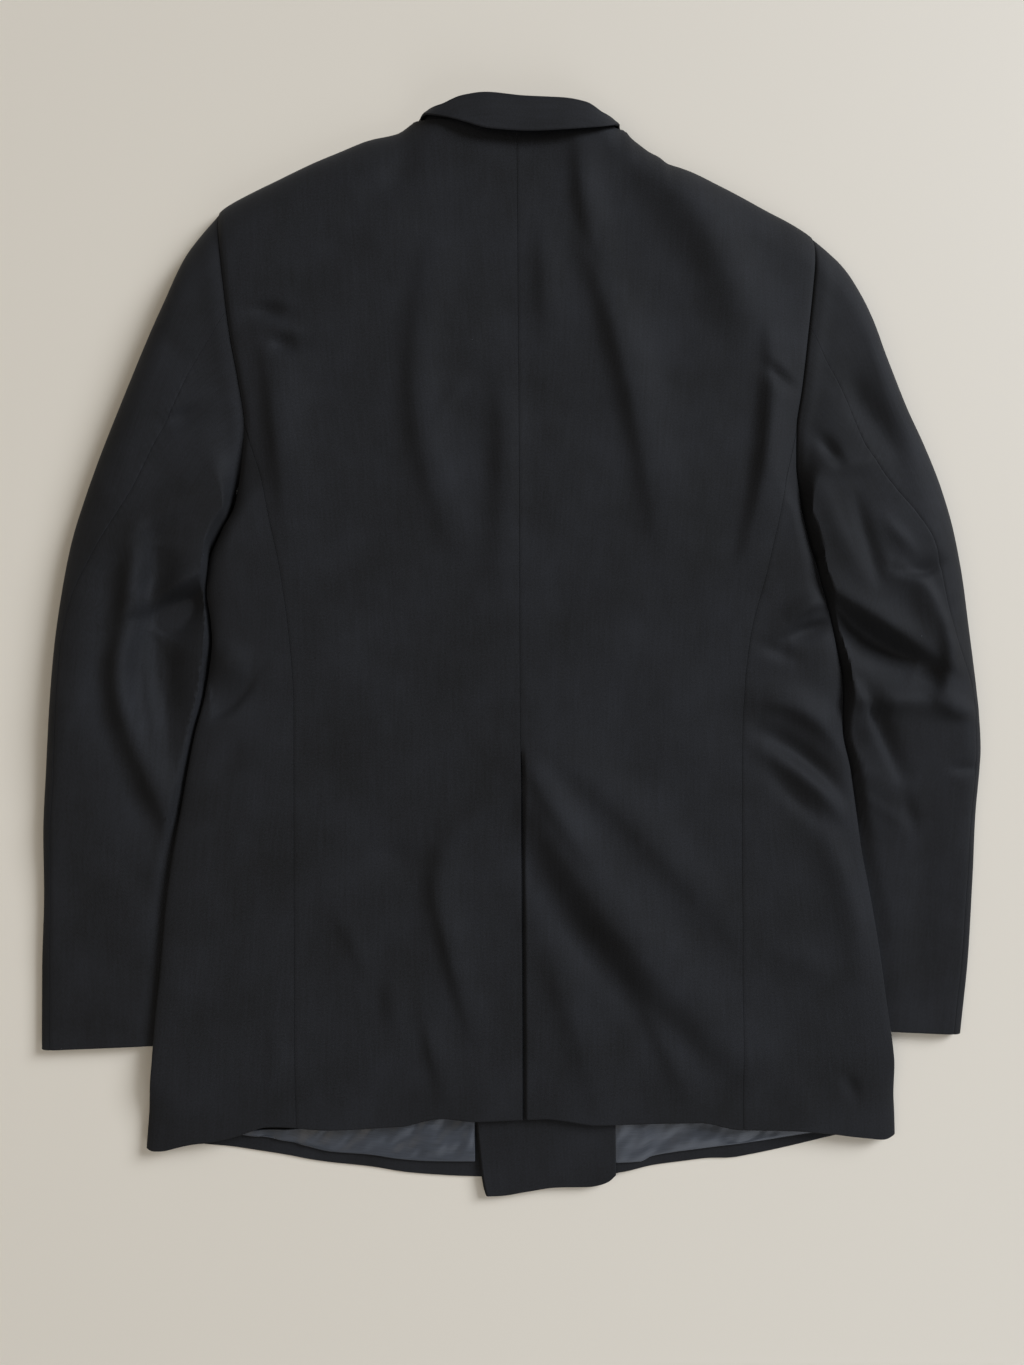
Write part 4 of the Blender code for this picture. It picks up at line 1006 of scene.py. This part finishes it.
def turned_disc(profile, sides):
    """Faces and points of a disc turned from (radius, z) rings, closed at both ends."""
    turn = np.linspace(0, 2 * np.pi, sides, endpoint=False)
    points = [(r * np.cos(a), r * np.sin(a), z) for r, z in profile for a in turn]
    faces = []
    for ring in range(len(profile) - 1):
        for k in range(sides):
            a = ring * sides + k
            b = ring * sides + (k + 1) % sides
            faces.append((a, b, b + sides, a + sides))
    faces.append(tuple(range(sides))[::-1])
    faces.append(tuple(range((len(profile) - 1) * sides, len(profile) * sides)))
    return np.array(points), faces


def button(number, x, y, resin):
    """Four-hole button with a raised rim, its face to the floor."""
    profile = [(r, BUTTON_DEPTH) for r in (0.05, 4, 8.6)]
    profile += [(9.4, 2.8), (9.9, 2.3), (BUTTON_RADIUS, 1.5), (9.9, 0.7), (9.5, 0.2)]
    profile += [(8.9, 0.0), (8.2, 0.15), (7.6, 0.5), (7.0, 0.75)]
    profile += [(r, 0.8) for r in np.arange(6.6, 0.2, -0.33)] + [(0.05, 0.8)]
    points, faces = turned_disc(profile, 72)
    face_side = points[:, 2] < 1.0
    for i, j in ((-1, -1), (-1, 1), (1, -1), (1, 1)):
        gap = np.hypot(points[:, 0] - i * HOLE_OUT, points[:, 1] - j * HOLE_OUT)
        points[:, 2] += np.where(face_side, 1.5 * (1 - ease(gap, 0.6, 1.15)), 0)
    points[:, 0] += x
    points[:, 1] += y
    mesh = bpy.data.meshes.new("resin_button_%d" % number)
    mesh.from_pydata((points * MM).tolist(), [], faces)
    mesh.polygons.foreach_set("use_smooth", np.ones(len(faces), dtype=bool))
    mesh.materials.append(resin)
    mesh.update()
    return stand_in("resin_button_%d" % number, mesh, "button_%d" % number)


# ---------------------------------------------------------------- materials

def linear(code):
    """Linear red, green, blue and alpha of an sRGB hex colour."""
    parts = [int(code[k:k + 2], 16) / 255 for k in (1, 3, 5)]
    return (*[c / 12.92 if c <= 0.04045 else ((c + 0.055) / 1.055) ** 2.4 for c in parts], 1.0)


def add(material, kind, settings=None, **links):
    """Adds a node with its settings; a link is a socket or a value, keyed by the input's name or i-number."""
    tree = material.node_tree
    node = tree.nodes.new(kind)
    for key, value in (settings or {}).items():
        setattr(node, key, value)
    for key, value in links.items():
        numbered = key[0] == "i" and key[1:].isdigit()
        socket = node.inputs[int(key[1:]) if numbered else key.replace("_", " ")]
        if isinstance(value, bpy.types.NodeSocket):
            tree.links.new(value, socket)
        else:
            socket.default_value = value
    return node


def finish_of(name, **values):
    """Material with a Principled shader set from the values."""
    material = bpy.data.materials.new(name)
    material.use_nodes = True
    shader = material.node_tree.nodes["Principled BSDF"]
    for key, value in values.items():
        shader.inputs[key.replace("_", " ")].default_value = value
    return material, shader


def ramp(material, source, stops):
    """Colour ramp over a source, its stops as places and colours."""
    node = add(material, "ShaderNodeValToRGB", Fac=source)
    elements = node.color_ramp.elements
    while len(elements) < len(stops):
        elements.new(0.5)
    for element, (place, colour) in zip(elements, stops):
        element.position = place
        element.color = colour
    return node


def worsted():
    """Worsted wool suiting: combed yarn woven as a fine twill and sheared, so matt with a faint sheen."""
    material, shader = finish_of(
        "worsted_wool", Roughness=0.7, Sheen_Weight=0.025, Sheen_Roughness=0.5, Specular_IOR_Level=0.1
    )
    grain = add(material, "ShaderNodeUVMap", {"uv_map": "grain"})
    # Real twill lines lie 0.5 mm apart; they are drawn at 1.1 mm so that they show at all.
    turned = add(material, "ShaderNodeMapping", Vector=grain.outputs[0], Rotation=(0, 0, np.radians(58)))
    twill = add(material, "ShaderNodeTexWave", {"wave_type": "BANDS"}, Vector=turned.outputs[0],
                Scale=0.314 / 0.0011, Distortion=1.2, Detail=1.0, Detail_Scale=2.0)
    # Warp yarns vary in thickness along their length: faint streaks 2 mm wide and 40 mm long.
    stretched = add(material, "ShaderNodeMapping", Vector=grain.outputs[0], Scale=(500, 25, 1))
    streak = add(material, "ShaderNodeTexNoise", Vector=stretched.outputs[0], Scale=1.0, Detail=2.0)
    # Crossing yarns 0.25 mm thick make a fine grain, drawn 1.5 mm wide.
    yarns = add(material, "ShaderNodeTexNoise", Vector=grain.outputs[0], Scale=700.0, Detail=3.0,
                Roughness=0.7)
    # Handling and pressing leave the nap lighter and darker in patches of about 50 mm.
    place = add(material, "ShaderNodeTexCoord")
    patch = add(material, "ShaderNodeTexNoise", Vector=place.outputs["Object"], Scale=20.0, Detail=3.0)
    tone = 0.0
    for source, share in ((streak, 0.16), (yarns, 0.5), (patch, 0.36)):
        summed = {"operation": "MULTIPLY_ADD"}
        tone = add(material, "ShaderNodeMath", summed, i0=source.outputs[0], i1=share, i2=tone).outputs[0]
    dyed = ramp(material, tone, ((0.36, linear("#171717")), (0.64, linear("#232427"))))
    # A few pale specks of lint, about 0.7 mm across.
    lint = add(material, "ShaderNodeTexVoronoi", Vector=place.outputs["Object"], Scale=51.0)
    speck = add(material, "ShaderNodeMath", {"operation": "LESS_THAN"}, i0=lint.outputs["Distance"], i1=0.018)
    chance = add(material, "ShaderNodeSeparateColor", Color=lint.outputs["Color"])
    rare = add(material, "ShaderNodeMath", {"operation": "GREATER_THAN"}, i0=chance.outputs[0], i1=0.955)
    both = add(material, "ShaderNodeMath", {"operation": "MULTIPLY"}, i0=speck.outputs[0], i1=rare.outputs[0])
    colour = add(material, "ShaderNodeMix", {"data_type": "RGBA"}, i0=both.outputs[0])
    tree = material.node_tree
    tree.links.new(dyed.outputs[0], colour.inputs[6])
    colour.inputs[7].default_value = linear("#55565a")
    tree.links.new(colour.outputs[2], shader.inputs["Base Color"])
    relief = add(material, "ShaderNodeMath", {"operation": "MULTIPLY_ADD"}, i0=twill.outputs[1], i1=0.5,
                 i2=yarns.outputs[0])
    bump = add(material, "ShaderNodeBump", Strength=0.35, Distance=0.00012, Height=relief.outputs[0])
    tree.links.new(bump.outputs[0], shader.inputs["Normal"])
    return material


def satin_lining():
    """Viscose lining satin: long floating yarns, so it is smooth, with a soft blue-grey gleam."""
    material, shader = finish_of(
        "lining_satin", Roughness=0.4, Sheen_Weight=0.1, Specular_IOR_Level=0.55, Anisotropic=0.4
    )
    grain = add(material, "ShaderNodeUVMap", {"uv_map": "grain"})
    # Weft yarns of 0.25 mm are drawn 0.8 mm apart.
    stretched = add(material, "ShaderNodeMapping", Vector=grain.outputs[0], Scale=(60, 1250, 1))
    yarn = add(material, "ShaderNodeTexNoise", Vector=stretched.outputs[0], Scale=1.0, Detail=1.0)
    dyed = ramp(material, yarn.outputs[0], ((0.25, linear("#272b31")), (0.75, linear("#353a42"))))
    material.node_tree.links.new(dyed.outputs[0], shader.inputs["Base Color"])
    bump = add(material, "ShaderNodeBump", Strength=0.2, Distance=0.0001, Height=yarn.outputs[0])
    material.node_tree.links.new(bump.outputs[0], shader.inputs["Normal"])
    return material


def button_resin():
    """Cast polyester resin, tumbled to a soft polish, with the faint cloudy bands of imitation horn."""
    material, shader = finish_of("button_resin", Roughness=0.3, IOR=1.55)
    # Clouds of about 6 mm.
    place = add(material, "ShaderNodeTexCoord")
    cloud = add(material, "ShaderNodeTexNoise", Vector=place.outputs["Object"], Scale=160.0, Detail=4.0,
                Distortion=1.5)
    dyed = ramp(material, cloud.outputs[0], ((0.35, linear("#131314")), (0.7, linear("#25221f"))))
    material.node_tree.links.new(dyed.outputs[0], shader.inputs["Base Color"])
    return material


def floor_paint():
    """Matt emulsion paint, rolled on, so it has one colour and no gleam."""
    material, _ = finish_of("floor_paint", Base_Color=linear("#d6cfc1"), Roughness=0.7)
    return material


# ---------------------------------------------------------------- putting it together

wool = worsted()
satin = satin_lining()
resin = button_resin()

for side in (LEFT, RIGHT):
    back_panel(side, wool, satin)
    side_panel(side, wool, satin)
    for part in sleeve(side, wool, satin):
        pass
    front(side, wool)
    lapel(side, wool)
collar(wool)
strip("lining_left", LEFT_LINING_REACH, LEFT_LINING, 0, LEFT, SATIN, satin)
strip("lining_right", RIGHT_LINING_REACH, RIGHT_LINING, 0, RIGHT, SATIN, satin)
strip("facing_right", FACING_REACH, RIGHT_HEM, 1, RIGHT, CLOTH, wool)

for number, (x, y) in enumerate(BUTTONS[1:], 1):
    button(number, x, y, resin)

# ---------------------------------------------------------------- floor, light and camera

# These places and sizes are in metres, as Blender has them.
FLOOR_HALF = 3.0
FLOOR_Z = -0.0005
corners = [(FLOOR_HALF * i, FLOOR_HALF * j, 0) for i, j in ((-1, -1), (1, -1), (1, 1), (-1, 1))]
floor_mesh = bpy.data.meshes.new("floor")
floor_mesh.from_pydata(corners, [], [(0, 1, 2, 3)])
floor_mesh.materials.append(floor_paint())
floor = bpy.data.objects.new("floor", floor_mesh)
floor.location.z = FLOOR_Z
bpy.context.scene.collection.objects.link(floor)

world = bpy.data.worlds.new("studio")
world.use_nodes = True
background = world.node_tree.nodes["Background"]
background.inputs["Color"].default_value = linear("#f7f2ea")
background.inputs["Strength"].default_value = 0.18
bpy.context.scene.world = world


def area_light(name, place, aim, size, watts, code):
    """Square soft light at a place, turned to a point."""
    data = bpy.data.lights.new(name, "AREA")
    data.size = size
    data.energy = watts
    data.color = linear(code)[:3]
    light = bpy.data.objects.new(name, data)
    light.location = place
    light.rotation_euler = (Vector(aim) - Vector(place)).to_track_quat("-Z", "Y").to_euler()
    bpy.context.scene.collection.objects.link(light)


area_light("window", (4.4, 2.7, 3.2), (0.0, 0.0, 0.0), 2.6, 450, "#eef4ff")
area_light("ceiling", (-1.5, -0.2, 2.4), (-0.2, 0.0, 0.0), 2.0, 17, "#fff4e6")
area_light("far_window", (0.7, -1.6, 1.3), (0.1, -0.3, 0.0), 1.2, 9, "#eef4ff")

# The camera looks almost straight down: its tilts about X, Y and Z are in degrees.
CAMERA_PLACE = (-0.060, -0.053, 0.8142)
CAMERA_TILTS = (1.861, -3.574, -0.410)
camera_data = bpy.data.cameras.new("camera")
camera_data.lens = 27.03
camera_data.sensor_width = 36.0
camera_data.clip_start = 0.01
camera = bpy.data.objects.new("camera", camera_data)
camera.location = CAMERA_PLACE
camera.rotation_euler = np.radians(CAMERA_TILTS)
bpy.context.scene.collection.objects.link(camera)
bpy.context.scene.camera = camera
bpy.context.scene.view_settings.view_transform = "Standard"
